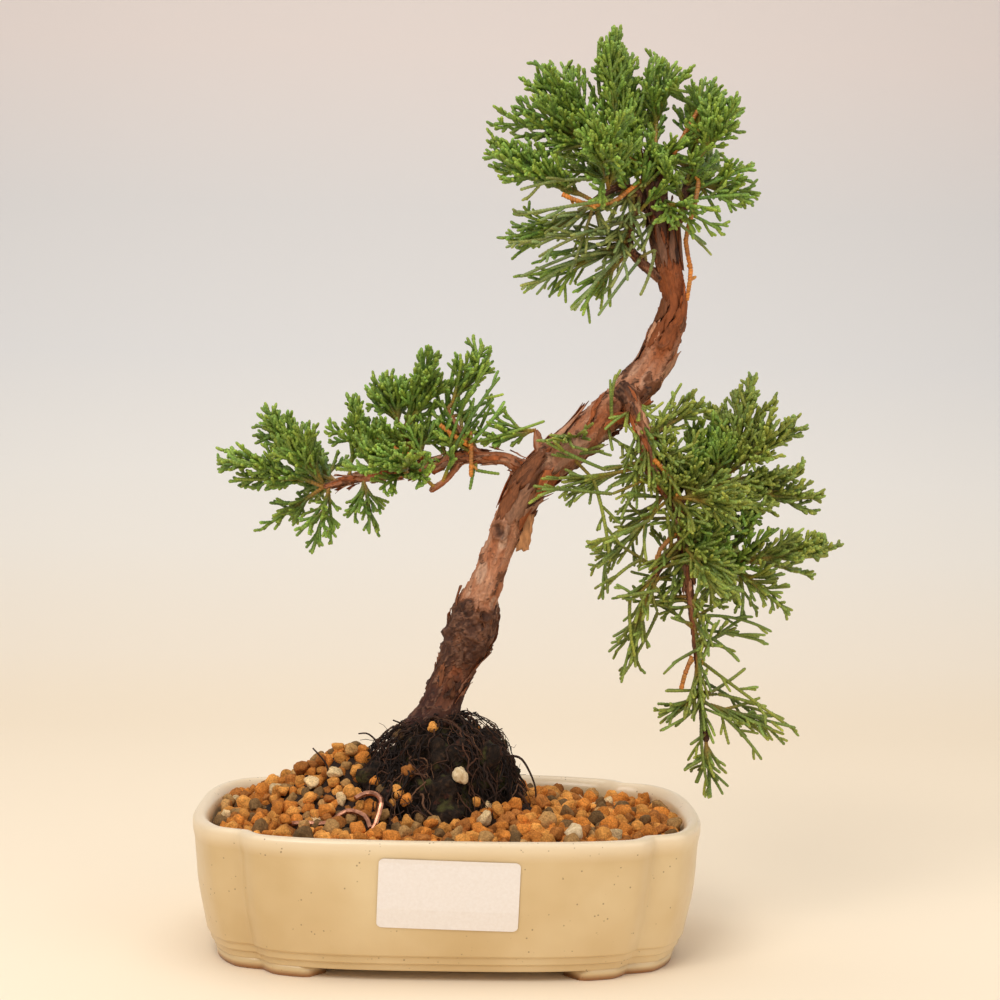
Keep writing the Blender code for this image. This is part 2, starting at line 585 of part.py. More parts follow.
def make_spray(name, entry, others, balls, skin):
    """A plume of shoots: thin at its stalk, widest past the middle, with finger ends."""
    base, tip = Vector(entry[0]), Vector(entry[1])
    half_width, half_thickness = entry[2] / 2, entry[3] / 2
    along = (tip - base).normalized()
    across = along.cross(Vector((0.0, 1.0, 0.0)))
    if across.length < 0.5:
        across = along.cross(Vector((0.0, 0.0, 1.0)))
    across.normalize()
    through = along.cross(across)
    site = site_of(base, tip)
    planes = cell_planes(site, others, balls)
    bm = bmesh.new()
    rings = []
    for level, (t, width) in enumerate(zip(SPRAY_RINGS, SPRAY_WIDTHS)):
        ring = []
        for k in range(SPRAY_SIDES):
            angle = math.tau * (k + 0.5 * (level % 2)) / SPRAY_SIDES
            finger = 1.0 + TIP_SPREAD * t * (1 if (k + level) % 2 else -1)
            sway = 0.25 * noise.noise(base * 0.3 + Vector((k, level, 0.0)) * 0.7)
            out = (across * math.cos(angle) * half_width + through * math.sin(angle) * half_thickness)
            forward = t + 0.08 * (finger - 1.0) / TIP_SPREAD * t
            point = base + (tip - base) * forward + out * width * (finger + sway)
            ring.append(bm.verts.new(keep_inside(point, site, planes)))
        rings.append(ring)
    bridge_rings(bm, rings, close_ends=False)
    for ring, pole in ((rings[0], base), (rings[-1], tip)):
        end = bm.verts.new(keep_inside(pole, site, planes))
        for i in range(SPRAY_SIDES):
            bm.faces.new((ring[i], ring[(i + 1) % SPRAY_SIDES], end))
    return finish(name, bm, skin)


def make_foliage(balls):
    green = material("juniper_green", (0.09, 0.21, 0.045), 0.6)
    entries = []
    groups = {"top": TOP_SPRAYS, "left": LEFT_SPRAYS, "right": RIGHT_SPRAYS, "tail": TAIL_SPRAYS}
    for group, sprays in groups.items():
        for number, entry in enumerate(sprays, start=1):
            entries.append((f"{group}_spray_{number:02d}", entry))
    sites = [site_of(Vector(entry[0]), Vector(entry[1])) for _, entry in entries]
    for index, (name, entry) in enumerate(entries):
        others = sites[:index] + sites[index + 1:]
        make_spray(name, entry, others, balls, green)


# ---- assembly --------------------------------------------------------------------------------

def evaluated_points(piece, graph):
    shape = piece.evaluated_get(graph)
    mesh = shape.to_mesh()
    points = [piece.matrix_world @ v.co for v in mesh.vertices]
    shape.to_mesh_clear()
    return points


def stand_on_origin():
    """Parent every piece to one empty and move the bounding box's bottom centre to 0, 0, 0."""
    bpy.context.view_layer.update()
    graph = bpy.context.evaluated_depsgraph_get()
    pieces = [o for o in bpy.data.objects if o.type == "MESH"]
    points = [p for o in pieces if not o.hide_render for p in evaluated_points(o, graph)]
    middle_x = (min(p.x for p in points) + max(p.x for p in points)) / 2
    middle_y = (min(p.y for p in points) + max(p.y for p in points)) / 2
    floor = min(p.z for p in points)
    root = bpy.data.objects.new("whole_tree", None)
    bpy.context.collection.objects.link(root)
    for piece in pieces:
        piece.parent = root
    root.location = (-middle_x, -middle_y, -floor)


def main():
    for old in list(bpy.data.objects):
        bpy.data.objects.remove(old, do_unlink=True)
    make_pot()
    make_label()
    soil = make_soil()
    ball = make_root_ball()
    for side, x0 in (("left", -DRAIN_HOLE_X), ("right", DRAIN_HOLE_X)):
        make_drain_mesh(f"drain_mesh_{side}", x0)
        make_clip(f"mesh_clip_{side}", x0)
    bpy.context.view_layer.update()
    graph = bpy.context.evaluated_depsgraph_get()
    surface = [p / MM for o in (soil, ball) for p in evaluated_points(o, graph)]
    make_stones([surface_tree(o, graph) for o in (soil, ball)])
    make_tie_wire(surface)
    make_trunk()
    balls = wood_spheres()
    make_loose_wood(balls)
    make_foliage(balls)
    stand_on_origin()


main()
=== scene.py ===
# %% [markdown]
# # A juniper bonsai in a lobed pot
# The object is a small living tree: a leaning, S-shaped trunk with peeling bark, three masses of
# scale-leaved shoots, and a cream glazed pot filled with fired clay grains. Plain solids of every
# piece already stand in the frame. This lesson grows the real surfaces round them.
# It works in millimetres and scales each mesh to metres at the last moment.

import math
import random

import bmesh
import bpy
import numpy as np
from mathutils import Matrix, Vector
from mathutils.bvhtree import BVHTree
from mathutils.kdtree import KDTree


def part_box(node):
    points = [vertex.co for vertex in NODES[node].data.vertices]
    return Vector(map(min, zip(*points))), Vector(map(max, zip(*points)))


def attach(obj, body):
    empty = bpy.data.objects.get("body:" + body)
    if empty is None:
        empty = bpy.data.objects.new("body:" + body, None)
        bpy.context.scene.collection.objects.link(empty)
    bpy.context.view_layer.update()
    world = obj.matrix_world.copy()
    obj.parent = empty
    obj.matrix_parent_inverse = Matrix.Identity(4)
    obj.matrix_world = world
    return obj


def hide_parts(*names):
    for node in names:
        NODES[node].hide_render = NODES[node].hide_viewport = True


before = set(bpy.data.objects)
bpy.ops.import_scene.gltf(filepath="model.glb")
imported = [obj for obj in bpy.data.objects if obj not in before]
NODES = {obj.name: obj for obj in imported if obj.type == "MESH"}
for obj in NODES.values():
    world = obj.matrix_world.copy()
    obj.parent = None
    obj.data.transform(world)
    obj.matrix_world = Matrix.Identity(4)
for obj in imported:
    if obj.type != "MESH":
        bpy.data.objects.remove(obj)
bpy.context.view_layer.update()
MM = 0.001
print("solids in the frame:", len(NODES))

# %% [markdown]
# ## Where things are
# The pot's own centre is the natural origin for a potter and for the tree's grower, so every
# place below is given from there: x to the right, y to the back, z up from the table.

# %% The pot's centre, and a solid's points in millimetres from it
pot_low, pot_high = (np.array(corner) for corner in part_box("pot"))
POT_CENTRE = np.array([(pot_low[0] + pot_high[0]) / 2, (pot_low[1] + pot_high[1]) / 2, pot_low[2]])
RIM_HALF_WIDTH = (pot_high[0] - pot_low[0]) / 2 / MM
RIM_HALF_DEPTH = (pot_high[1] - pot_low[1]) / 2 / MM
RIM_HEIGHT = (pot_high[2] - pot_low[2]) / MM


def node_points(name):
    """Vertices of a solid, in millimetres from the pot's centre."""
    mesh = NODES[name].data
    flat = np.empty(len(mesh.vertices) * 3, np.float32)
    mesh.vertices.foreach_get("co", flat)
    return (flat.reshape(-1, 3).astype(float) - POT_CENTRE) / MM


def node_tree(name):
    """Search tree over the faces of a solid, for rays and nearest points."""
    corners = [Vector(p) for p in node_points(name)]
    faces = [tuple(face.vertices) for face in NODES[name].data.polygons]
    return BVHTree.FromPolygons(corners, faces)


print("pot half width, half depth, height (mm):", RIM_HALF_WIDTH, RIM_HALF_DEPTH, RIM_HEIGHT)

# %% [markdown]
# ## Camera
# A bonsai portrait is taken from the height of its branches, so that the soil just shows, with
# a long lens that keeps the pot's sides nearly parallel. The pot stands turned a little.

# %% Camera
CAMERA_PLACE = np.array([-2.9, -702.2, 196.3])
CAMERA_TURN = math.radians(-1.69)
CAMERA_PITCH = math.radians(1.93)
CAMERA_ROLL = math.radians(1.25)
camera_data = bpy.data.cameras.new("portrait")
camera_data.sensor_width = 36.0
camera_data.lens = 64.8
camera = bpy.data.objects.new("portrait", camera_data)
bpy.context.scene.collection.objects.link(camera)
camera.matrix_world = (Matrix.Translation(POT_CENTRE + CAMERA_PLACE * MM)
                       @ Matrix.Rotation(CAMERA_TURN, 4, "Z")
                       @ Matrix.Rotation(math.pi / 2 - CAMERA_PITCH, 4, "X")
                       @ Matrix.Rotation(CAMERA_ROLL, 4, "Z"))
bpy.context.scene.camera = camera
bpy.context.scene.view_settings.view_transform = "Standard"
print("camera stands at", [round(v, 3) for v in camera.matrix_world.translation])

# %% [markdown]
# ## Small tools
# Bark, clay and shoots all need soft random variation, and thousands of small tubes and lumps.
# Blender's own noise works on one point at a time, so a lattice noise written with arrays is
# used instead: it shades a hundred thousand points in a blink, and is the same on every run.

# %% Random field over many points
# large odd numbers that scatter neighbouring cells of the lattice
CELL_SCATTER = (73856093, 19349663, 83492791)
SEED_SCATTER = 7919
BIT_SCATTER = 1274126177
LOW_BITS = 0xFFFF


def lattice_noise(points, seed=0):
    """Smooth random values from -1 to 1. One unit of the points is one lattice cell."""
    cell = np.floor(points).astype(np.int64)
    part = points - cell
    ease = part * part * (3 - 2 * part)
    total = np.zeros(len(points))
    for corner in range(8):
        step = np.array([corner & 1, corner >> 1 & 1, corner >> 2 & 1])
        place = cell + step
        x, y, z = (place[:, axis] * CELL_SCATTER[axis] for axis in range(3))
        key = x ^ y ^ z ^ seed * SEED_SCATTER
        key = (key ^ (key >> 13)) * BIT_SCATTER
        value = ((key ^ (key >> 16)) & LOW_BITS) / (LOW_BITS / 2) - 1.0
        total += value * np.prod(np.where(step == 1, ease, 1 - ease), axis=1)
    return total


def layered_noise(points, seed=0, layers=3):
    """Lattice noise with finer layers added at half strength each."""
    return sum(lattice_noise(points * 2 ** k, seed + k) / 2 ** k for k in range(layers))


def soft_step(value, low, high):
    """0 below low, 1 above high, smooth between."""
    t = np.clip((value - low) / (high - low), 0, 1)
    return t * t * (3 - 2 * t)


def blend_colours(a, b, amount):
    """Row-wise mix of two colours or arrays of colours."""
    return np.asarray(a) * (1 - amount[:, None]) + np.asarray(b) * amount[:, None]


few_places = np.array([[0.2, 0.5, 0.1], [1.4, 0.5, 0.1], [2.6, 0.5, 0.1]])
print("noise at three places:", layered_noise(few_places).round(2))


# %% [markdown]
# ## Meshes and pieces
# Bark, shoots and grains come as arrays of points and of corner numbers. Building them one face
# at a time would take minutes, so a mesh is filled from whole arrays. Where one material must
# show many tones, a colour is painted on the points. A piece then gets its material, the body
# that carries it, and the solids that it stands for.

# %% Meshes from arrays
def new_mesh(name, points, polygons, tints=None):
    """An object from points in millimetres and a list of index arrays, one row for each face."""
    mesh = bpy.data.meshes.new(name)
    mesh.vertices.add(len(points))
    place = np.asarray(points, float) * MM + POT_CENTRE
    mesh.vertices.foreach_set("co", place.astype(np.float32).ravel())
    corners = np.concatenate([rows.ravel() for rows in polygons])
    sizes = np.concatenate([np.full(len(rows), rows.shape[1]) for rows in polygons])
    starts = np.concatenate([[0], np.cumsum(sizes)[:-1]])
    mesh.loops.add(len(corners))
    mesh.loops.foreach_set("vertex_index", corners.astype(np.int32))
    mesh.polygons.add(len(sizes))
    mesh.polygons.foreach_set("loop_start", starts.astype(np.int32))
    mesh.polygons.foreach_set("use_smooth", np.full(len(sizes), True))
    mesh.update(calc_edges=True)
    if tints is not None:
        layer = mesh.color_attributes.new("tint", "FLOAT_COLOR", "POINT")
        rgba = np.ones((len(points), 4), np.float32)
        rgba[:, :3] = np.clip(tints, 0, 1)
        layer.data.foreach_set("color", rgba.ravel())
    made = bpy.data.objects.new(name, mesh)
    bpy.context.scene.collection.objects.link(made)
    return made


def add_piece(made, skin, slot, *stands_for):
    """Give a finished mesh its material, its body and the solids that it stands for."""
    made.data.materials.append(skin)
    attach(made, "root")
    if stands_for:
        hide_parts(*stands_for)
    return made


def dress(name, skin):
    """Give a solid that stays as it is a better material."""
    NODES[name].data.materials.clear()
    NODES[name].data.materials.append(skin)


print("a new mesh is scaled by", MM, "and moved to", POT_CENTRE.round(3))


# %% [markdown]
# ## Finishes
# Each finish is a small tree of nodes: a noise in the object's own space, a ramp that turns it
# into colours, and a bump. Painted pictures could be wrapped round the pieces instead, but they
# need seams and blur up close. Short helpers keep the trees readable.

# %% Materials from nodes
def new_material(name, roughness, **sockets):
    """An empty node material and its shader."""
    made = bpy.data.materials.new(name)
    made.use_nodes = True
    shader = made.node_tree.nodes["Principled BSDF"]
    shader.inputs["Roughness"].default_value = roughness
    for socket, value in sockets.items():
        shader.inputs[socket.replace("_", " ")].default_value = value
    return made, shader


def add_node(made, kind, links=(), **settings):
    """A node with its settings; links are pairs of input name and the socket that feeds it."""
    node = made.node_tree.nodes.new("ShaderNode" + kind)
    for key, value in settings.items():
        if key in node.inputs:
            node.inputs[key].default_value = value
        else:
            setattr(node, key, value)
    for target, source in links:
        made.node_tree.links.new(source, node.inputs[target])
    return node


def place_of(made):
    """Socket that gives the place on the object, in metres."""
    return add_node(made, "TexCoord").outputs["Object"]


def noise_of(made, scale, detail=4.0, where=None):
    """Fractal noise; scale is in cells for each metre."""
    return add_node(made, "TexNoise", [("Vector", where or place_of(made))],
                    Scale=scale, Detail=detail).outputs["Fac"]


def ramp_of(made, source, stops):
    """Colour ramp fed by a socket."""
    node = add_node(made, "ValToRGB", [("Fac", source)])
    elements = node.color_ramp.elements
    while len(elements) < len(stops):
        elements.new(0.5)
    for element, (place, colour) in zip(elements, stops):
        element.position = place
        element.color = (*colour, 1.0)
    return node.outputs["Color"]


def mix_of(made, a, b, factor, kind="MIX"):
    """Mix of two colours; any of the three may be a socket or a value."""
    node = made.node_tree.nodes.new("ShaderNodeMix")
    node.data_type = "RGBA"
    node.blend_type = kind
    for socket, value in ((node.inputs[0], factor), (node.inputs[6], a), (node.inputs[7], b)):
        if isinstance(value, bpy.types.NodeSocket):
            made.node_tree.links.new(value, socket)
        elif isinstance(value, tuple):
            socket.default_value = (*value, 1.0)
        else:
            socket.default_value = value
    return node.outputs[2]


def range_of(made, source, low, high, to_low=0.0, to_high=1.0):
    """A value stretched from one range to another, and held inside it."""
    node = add_node(made, "MapRange", [("Value", source)])
    limits = {"From Min": low, "From Max": high, "To Min": to_low, "To Max": to_high}
    for name, value in limits.items():
        node.inputs[name].default_value = value
    return node.outputs["Result"]


def height_of(made):
    """Height of the place on the object, in metres."""
    return add_node(made, "SeparateXYZ", [("Vector", place_of(made))]).outputs["Z"]


def bump_of(made, shader, height, strength, distance):
    """Bump from a height socket."""
    node = add_node(made, "Bump", [("Height", height)], Strength=strength, Distance=distance)
    made.node_tree.links.new(node.outputs["Normal"], shader.inputs["Normal"])


def feed(made, shader, socket, source):
    """Lead a socket into one of the shader's inputs."""
    made.node_tree.links.new(source, shader.inputs[socket])


def tint_of(made):
    """The colour painted on the mesh's points."""
    return add_node(made, "VertexColor", layer_name="tint").outputs["Color"]


def grey(value):
    """The same value in all three channels."""
    return (value,) * 3


def shaded_tint(made, source, low, high):
    """The painted colour made darker and lighter by a noise; low and high are (place, factor)."""
    shade = ramp_of(made, source, [(place, grey(factor)) for place, factor in (low, high)])
    return mix_of(made, tint_of(made), shade, 1.0, "MULTIPLY")


print("material helpers are ready")

# %% [markdown]
# ## Studio
# The tree stands on a seamless sweep. Its ramp paints it warm cream where it lies flat, and
# cooler and greyer where it rises behind the tree: painted shade for the light that falls off up
# the wall. One curved sheet hides the line between table and wall. Large area lamps close to the
# camera side give the soft, almost shadowless light of a shop portrait.

# %% The sweep
SWEEP_HALF_WIDTH = 3000.0
SWEEP_FRONT = -1500.0
SWEEP_BEND_START = 500.0
SWEEP_BEND_RADIUS = 900.0
SWEEP_BEND_STEPS = 24
SWEEP_TOP = 2600.0
SWEEP_FADE_HEIGHT = 0.8
# share of the fade height, and the colour of the paper there, greyed up the wall by painted shade
SWEEP_TONES_WITH_SHADE = (
    (0.0, (0.92, 0.79, 0.61)), (0.03, (0.91, 0.81, 0.67)), (0.12, (0.89, 0.84, 0.76)),
    (0.20, (0.87, 0.84, 0.79)), (0.35, (0.80, 0.79, 0.78)), (0.56, (0.78, 0.76, 0.75)),
    (0.80, (0.86, 0.77, 0.73)),
)


def make_sweep():
    """A floor that curves up into a wall."""
    line = [(SWEEP_FRONT, 0.0), (SWEEP_BEND_START, 0.0)]
    for k in range(1, SWEEP_BEND_STEPS + 1):
        turn = math.pi / 2 * k / SWEEP_BEND_STEPS
        line.append((SWEEP_BEND_START + SWEEP_BEND_RADIUS * math.sin(turn),
                     SWEEP_BEND_RADIUS * (1 - math.cos(turn))))
    line.append((line[-1][0], SWEEP_TOP))
    points = [(side * SWEEP_HALF_WIDTH, y, z) for y, z in line for side in (-1, 1)]
    rows = np.array([(2 * i, 2 * i + 1, 2 * i + 3, 2 * i + 2) for i in range(len(line) - 1)])
    sweep = new_mesh("studio_sweep", np.array(points), [rows])
    paper, shader = new_material("sweep_paper", 0.95)
    share = range_of(paper, height_of(paper), 0.0, SWEEP_FADE_HEIGHT)
    # painted shade: the colours grey the paper as it rises, where the light falls off
    feed(paper, shader, "Base Color", ramp_of(paper, share, SWEEP_TONES_WITH_SHADE))
    sweep.data.materials.append(paper)
    return sweep


studio_sweep = make_sweep()
print("sweep has", len(studio_sweep.data.polygons), "faces")

# %% Lamps and room light
ROOM_COLOUR = (0.98, 0.98, 1.0, 1.0)
ROOM_STRENGTH = 0.46


def add_lamp(name, place, aim, size, watts, colour):
    """A square area lamp that looks at a point; places in millimetres."""
    data = bpy.data.lights.new(name, "AREA")
    data.shape = "SQUARE"
    data.size = size * MM
    data.energy = watts
    data.color = colour
    lamp = bpy.data.objects.new(name, data)
    bpy.context.scene.collection.objects.link(lamp)
    lamp.location = POT_CENTRE + np.array(place) * MM
    lamp.rotation_euler = (Vector(aim) - Vector(place)).to_track_quat("-Z", "Y").to_euler()
    return lamp


add_lamp("key", (-500, -900, 1100), (20, 0, 170), 700, 10.5, (1.0, 0.96, 0.90))
add_lamp("fill", (900, -700, 500), (20, 0, 170), 900, 3.2, (1.0, 0.96, 0.91))
add_lamp("overhead", (0, 200, 1400), (20, 0, 100), 1200, 7.5, (1.0, 0.97, 0.93))
world = bpy.data.worlds.new("room")
bpy.context.scene.world = world
world.use_nodes = True
sky = world.node_tree.nodes["Background"]
sky.inputs["Color"].default_value = ROOM_COLOUR
sky.inputs["Strength"].default_value = ROOM_STRENGTH
lamps = [thing for thing in bpy.context.scene.objects if thing.type == "LIGHT"]
print("lamps:", [lamp.name for lamp in lamps])

# %% [markdown]
# ## Pot
# The real pot was pressed in a mould: four lobes that meet in soft grooves, a rolled lip, and
# two low steps round the foot. It could be carved with booleans, but a profile swept round a
# lobed plan gives every edge its own small rounding, as glaze does. The plan is a superellipse
# that is drawn in at the four grooves.

# %% The pot's plan
LOBE_POWER = 3.35
GROOVE_ANGLE = math.radians(34.6)
GROOVE_HALF_ANGLE = math.radians(6.0)
GROOVE_DEPTH = 0.046
GROOVE_SHARPNESS = 1.25
PLAN_STEPS = 360


def plan_radius(angle, inset):
    """Distance from the centre to the lobed outline, drawn in by the inset (arrays)."""
    a = RIM_HALF_WIDTH - inset
    b = RIM_HALF_DEPTH - inset
    c, s = np.abs(np.cos(angle)), np.abs(np.sin(angle))
    radius = ((c / a) ** LOBE_POWER + (s / b) ** LOBE_POWER) ** (-1.0 / LOBE_POWER)
    away = np.abs(np.arctan2(s, c) - GROOVE_ANGLE) / GROOVE_HALF_ANGLE
    return radius * (1.0 - GROOVE_DEPTH * np.clip(1.0 - away, 0, 1) ** GROOVE_SHARPNESS)


groove_radius = plan_radius(np.array([0.0, GROOVE_ANGLE, math.pi / 2]), 0.0)
print("plan radius at side, groove and front (mm):", groove_radius.round(1))

# %% The pot's body
# (inset from the rim outline, height, rounding of the corner there)
POT_PROFILE = (
    (20.0, 4.0, 0.0), (8.8, 4.0, 0.8), (8.4, 6.7, 0.5), (7.3, 7.1, 0.4), (7.0, 9.7, 0.6),
    (5.8, 10.3, 0.5), (2.4, 28.0, 6.0), (1.1, 45.0, 2.0), (0.2, 48.8, 1.6), (0.4, 52.5, 1.4),
    (4.0, 53.1, 1.7), (6.3, 50.2, 1.5), (7.4, 42.0, 2.0), (13.5, 13.0, 2.0), (20.0, 9.0, 0.0),
)


def rounded_profile(corners, steps=5):
    """The profile with each corner turned into a short curve that stays off its neighbours."""
    line = []
    for i, (inset, height, rounding) in enumerate(corners):
        here = np.array([inset, height])
        if rounding == 0.0:
            line.append(here)
            continue
        before = np.array(corners[i - 1][:2]) - here
        after = np.array(corners[i + 1][:2]) - here
        start, end = (here + edge / np.linalg.norm(edge) * min(rounding, np.linalg.norm(edge) * 0.45)
                      for edge in (before, after))
        for k in range(steps):
            t = k / (steps - 1)
            line.append((1 - t) ** 2 * start + 2 * t * (1 - t) * here + t * t * end)
    return line


def closed_rings(rings, sides):
    """Faces between rings of points that follow each other, and a cap on both ends."""
    k = np.arange(sides)
    n = (k + 1) % sides
    rows = np.arange(rings - 1)[:, None] * sides
    quads = np.stack([rows + k, rows + n, rows + sides + n, rows + sides + k], axis=-1)
    return [quads.reshape(-1, 4), k[::-1][None, :], ((rings - 1) * sides + k)[None, :]]


def make_pot_body():
    """The wall, swept round the plan and then made slightly uneven, as pressed clay is."""
    angles = np.linspace(0, math.tau, PLAN_STEPS, endpoint=False)
    rings = []
    for inset, height in rounded_profile(POT_PROFILE):
        r = plan_radius(angles, inset)
        rings.append(np.stack([r * np.cos(angles), r * np.sin(angles), np.full(len(r), height)], -1))
    points = np.concatenate(rings)
    outward = points * np.array([1, 1, 0]) / np.linalg.norm(points[:, :2], axis=1)[:, None]
    uneven = layered_noise(points / 26.0, seed=3) * 0.22 + lattice_noise(points / 6.0, seed=9) * 0.06
    above_base = soft_step(points[:, 2], 4.0, 12.0)
    points = points + outward * (uneven * above_base)[:, None]
    points[:, 2] += lattice_noise(points / 30.0, seed=5) * 0.25 * soft_step(points[:, 2], 40.0, 50.0)
    return new_mesh("pot_body", points, closed_rings(len(rings), PLAN_STEPS))


# %% The pot's feet
FOOT_ANGLES = (math.radians(16.0), math.radians(48.0))
FOOT_STEPS = 40
FOOT_MIDDLE = 14.0
# (inset from the rim outline, height) round the section of a foot
FOOT_SECTION = ((9.9, 0.3), (8.9, 4.6), (18.5, 4.6), (18.5, 0.3), (18.1, 0.0), (10.3, 0.0))


def make_pot_feet():
    """Four strips, one under each groove, that follow the outline on both sides of it."""
    points, polygons = [], []
    for sx, sy in ((1, 1), (-1, 1), (-1, -1), (1, -1)):
        start = len(points) * len(FOOT_SECTION)
        for i in range(FOOT_STEPS + 1):
            angle = FOOT_ANGLES[0] + (FOOT_ANGLES[1] - FOOT_ANGLES[0]) * i / FOOT_STEPS
            end = min(i, FOOT_STEPS - i) / 2.0
            narrowed = 0.2 * max(0.0, 1.0 - end) ** 2
            row = []
            for inset, height in FOOT_SECTION:
                inset = FOOT_MIDDLE + (inset - FOOT_MIDDLE) * (1.0 - narrowed)
                r = float(plan_radius(np.array([angle]), inset)[0])
                row.append((sx * r * math.cos(angle), sy * r * math.sin(angle), height))
            points.append(row)
        for rows in closed_rings(FOOT_STEPS + 1, len(FOOT_SECTION)):
            rows = rows + start
            polygons.append(rows if sx * sy < 0 else rows[:, ::-1])
    return new_mesh("pot_feet", np.array(points).reshape(-1, 3), polygons)


# %% [markdown]
# ## Glaze
# Cream glaze runs thin and pale off the lip, lies warmer on the walls, and lets iron specks of
# the clay burn through. It stops short of the feet, which stay bare. It could be painted by hand
# on an unwrapped wall; noise and the height on the pot place it all without a seam.

# %% Cream glaze
# heights in metres between which the lip turns pale and the feet turn bare
LIP_FADE = (0.0455, 0.0515)
BARE_FADE = (0.0026, 0.0008)
GLAZE_TONES = ((0.30, (0.60, 0.42, 0.20)), (0.52, (0.66, 0.48, 0.25)), (0.72, (0.72, 0.55, 0.31)))
LIP_CREAM = (0.80, 0.64, 0.43)
SPECK_BROWN = (0.20, 0.12, 0.06)
BARE_CLAY = (0.34, 0.15, 0.05)


def make_glaze():
    """Cream glaze with fine brown specks, thin and pale on edges, bare clay under the feet."""
    glaze, shader = new_material("cream_glaze", 0.34, Coat_Weight=0.25, Coat_Roughness=0.18)
    body = ramp_of(glaze, noise_of(glaze, 28.0, 3.0), GLAZE_TONES)
    height = height_of(glaze)
    body = mix_of(glaze, body, LIP_CREAM, range_of(glaze, height, *LIP_FADE))
    cells = add_node(glaze, "TexVoronoi", [("Vector", place_of(glaze))], Scale=520.0)
    dots = range_of(glaze, cells.outputs["Distance"], 0.10, 0.22, 0.75, 0.0)
    choose = add_node(glaze, "Math", [(0, noise_of(glaze, 190.0, 1.0))], operation="GREATER_THAN")
    choose.inputs[1].default_value = 0.60
    specks = add_node(glaze, "Math", [(0, dots), (1, choose.outputs[0])], operation="MULTIPLY")
    body = mix_of(glaze, body, SPECK_BROWN, specks.outputs[0])
    body = mix_of(glaze, body, BARE_CLAY, range_of(glaze, height, *BARE_FADE))
    feed(glaze, shader, "Base Color", body)
    feed(glaze, shader, "Roughness", ramp_of(glaze, noise_of(glaze, 60.0), (
        (0.3, grey(0.28)), (0.7, grey(0.44)))))
    bump_of(glaze, shader, noise_of(glaze, 420.0, 6.0), 0.12, 0.0006)
    return glaze


# %% Pot pieces
glaze = make_glaze()
pot_body = add_piece(make_pot_body(), glaze, "cream_glaze", "pot")
add_piece(make_pot_feet(), glaze, "cream_glaze", "pot")
print("pot body has", len(pot_body.data.polygons), "faces")

# %% [markdown]
# ## Sticker
# A small blank paper label with a faint satin coat. Its solid is already bent over the wall, so
# it keeps its mesh and only gets a paper finish.

# %% Label paper
def make_label_paper():
    """White paper, very slightly uneven."""
    paper, shader = new_material("label_paper", 0.42, Coat_Weight=0.15)
    feed(paper, shader, "Base Color", ramp_of(paper, noise_of(paper, 900.0, 5.0), (
        (0.3, (0.81, 0.74, 0.69)), (0.7, (0.85, 0.79, 0.75)))))
    bump_of(paper, shader, noise_of(paper, 2500.0, 4.0), 0.06, 0.0002)
    return paper


dress("pot_label", make_label_paper())
print("label is blank")

# %% [markdown]
# ## Wood: routes
# The trunk is one long curve and the branches leave it. A route holds x, y, z and radius at a
# few listed points, and a Catmull-Rom curve runs smoothly through them. The same routes
# place the bark, the flakes and the feet of the shoots.

# %% Routes of the wood
# x, y, z and radius of the stem
TRUNK_LINE = (
    (-9.1, 3.0, 80.1, 9.2), (-4.8, 3.0, 88.9, 7.4), (1.9, 3.5, 105.7, 6.8),
    (7.6, 3.5, 120.5, 9.0), (10.2, 2.5, 132.4, 7.9), (14.1, 1.0, 143.2, 6.4),
    (20.5, -1.0, 162.0, 6.2), (26.1, -2.0, 174.9, 6.6), (34.3, -2.0, 184.9, 7.6),
    (49.6, -1.0, 198.4, 7.0), (59.5, 0.0, 207.4, 7.4), (69.1, 1.0, 216.5, 7.4),
    (77.0, 2.0, 227.1, 6.8), (81.9, 2.0, 239.2, 6.2), (84.4, 1.0, 250.2, 5.2),
    (82.3, 0.0, 261.2, 5.4), (79.6, 0.0, 274.9, 5.0), (77.4, 0.0, 285.5, 4.0),
    (75.4, 0.0, 296.6, 3.8), (75.5, 0.0, 309.8, 3.9),
)
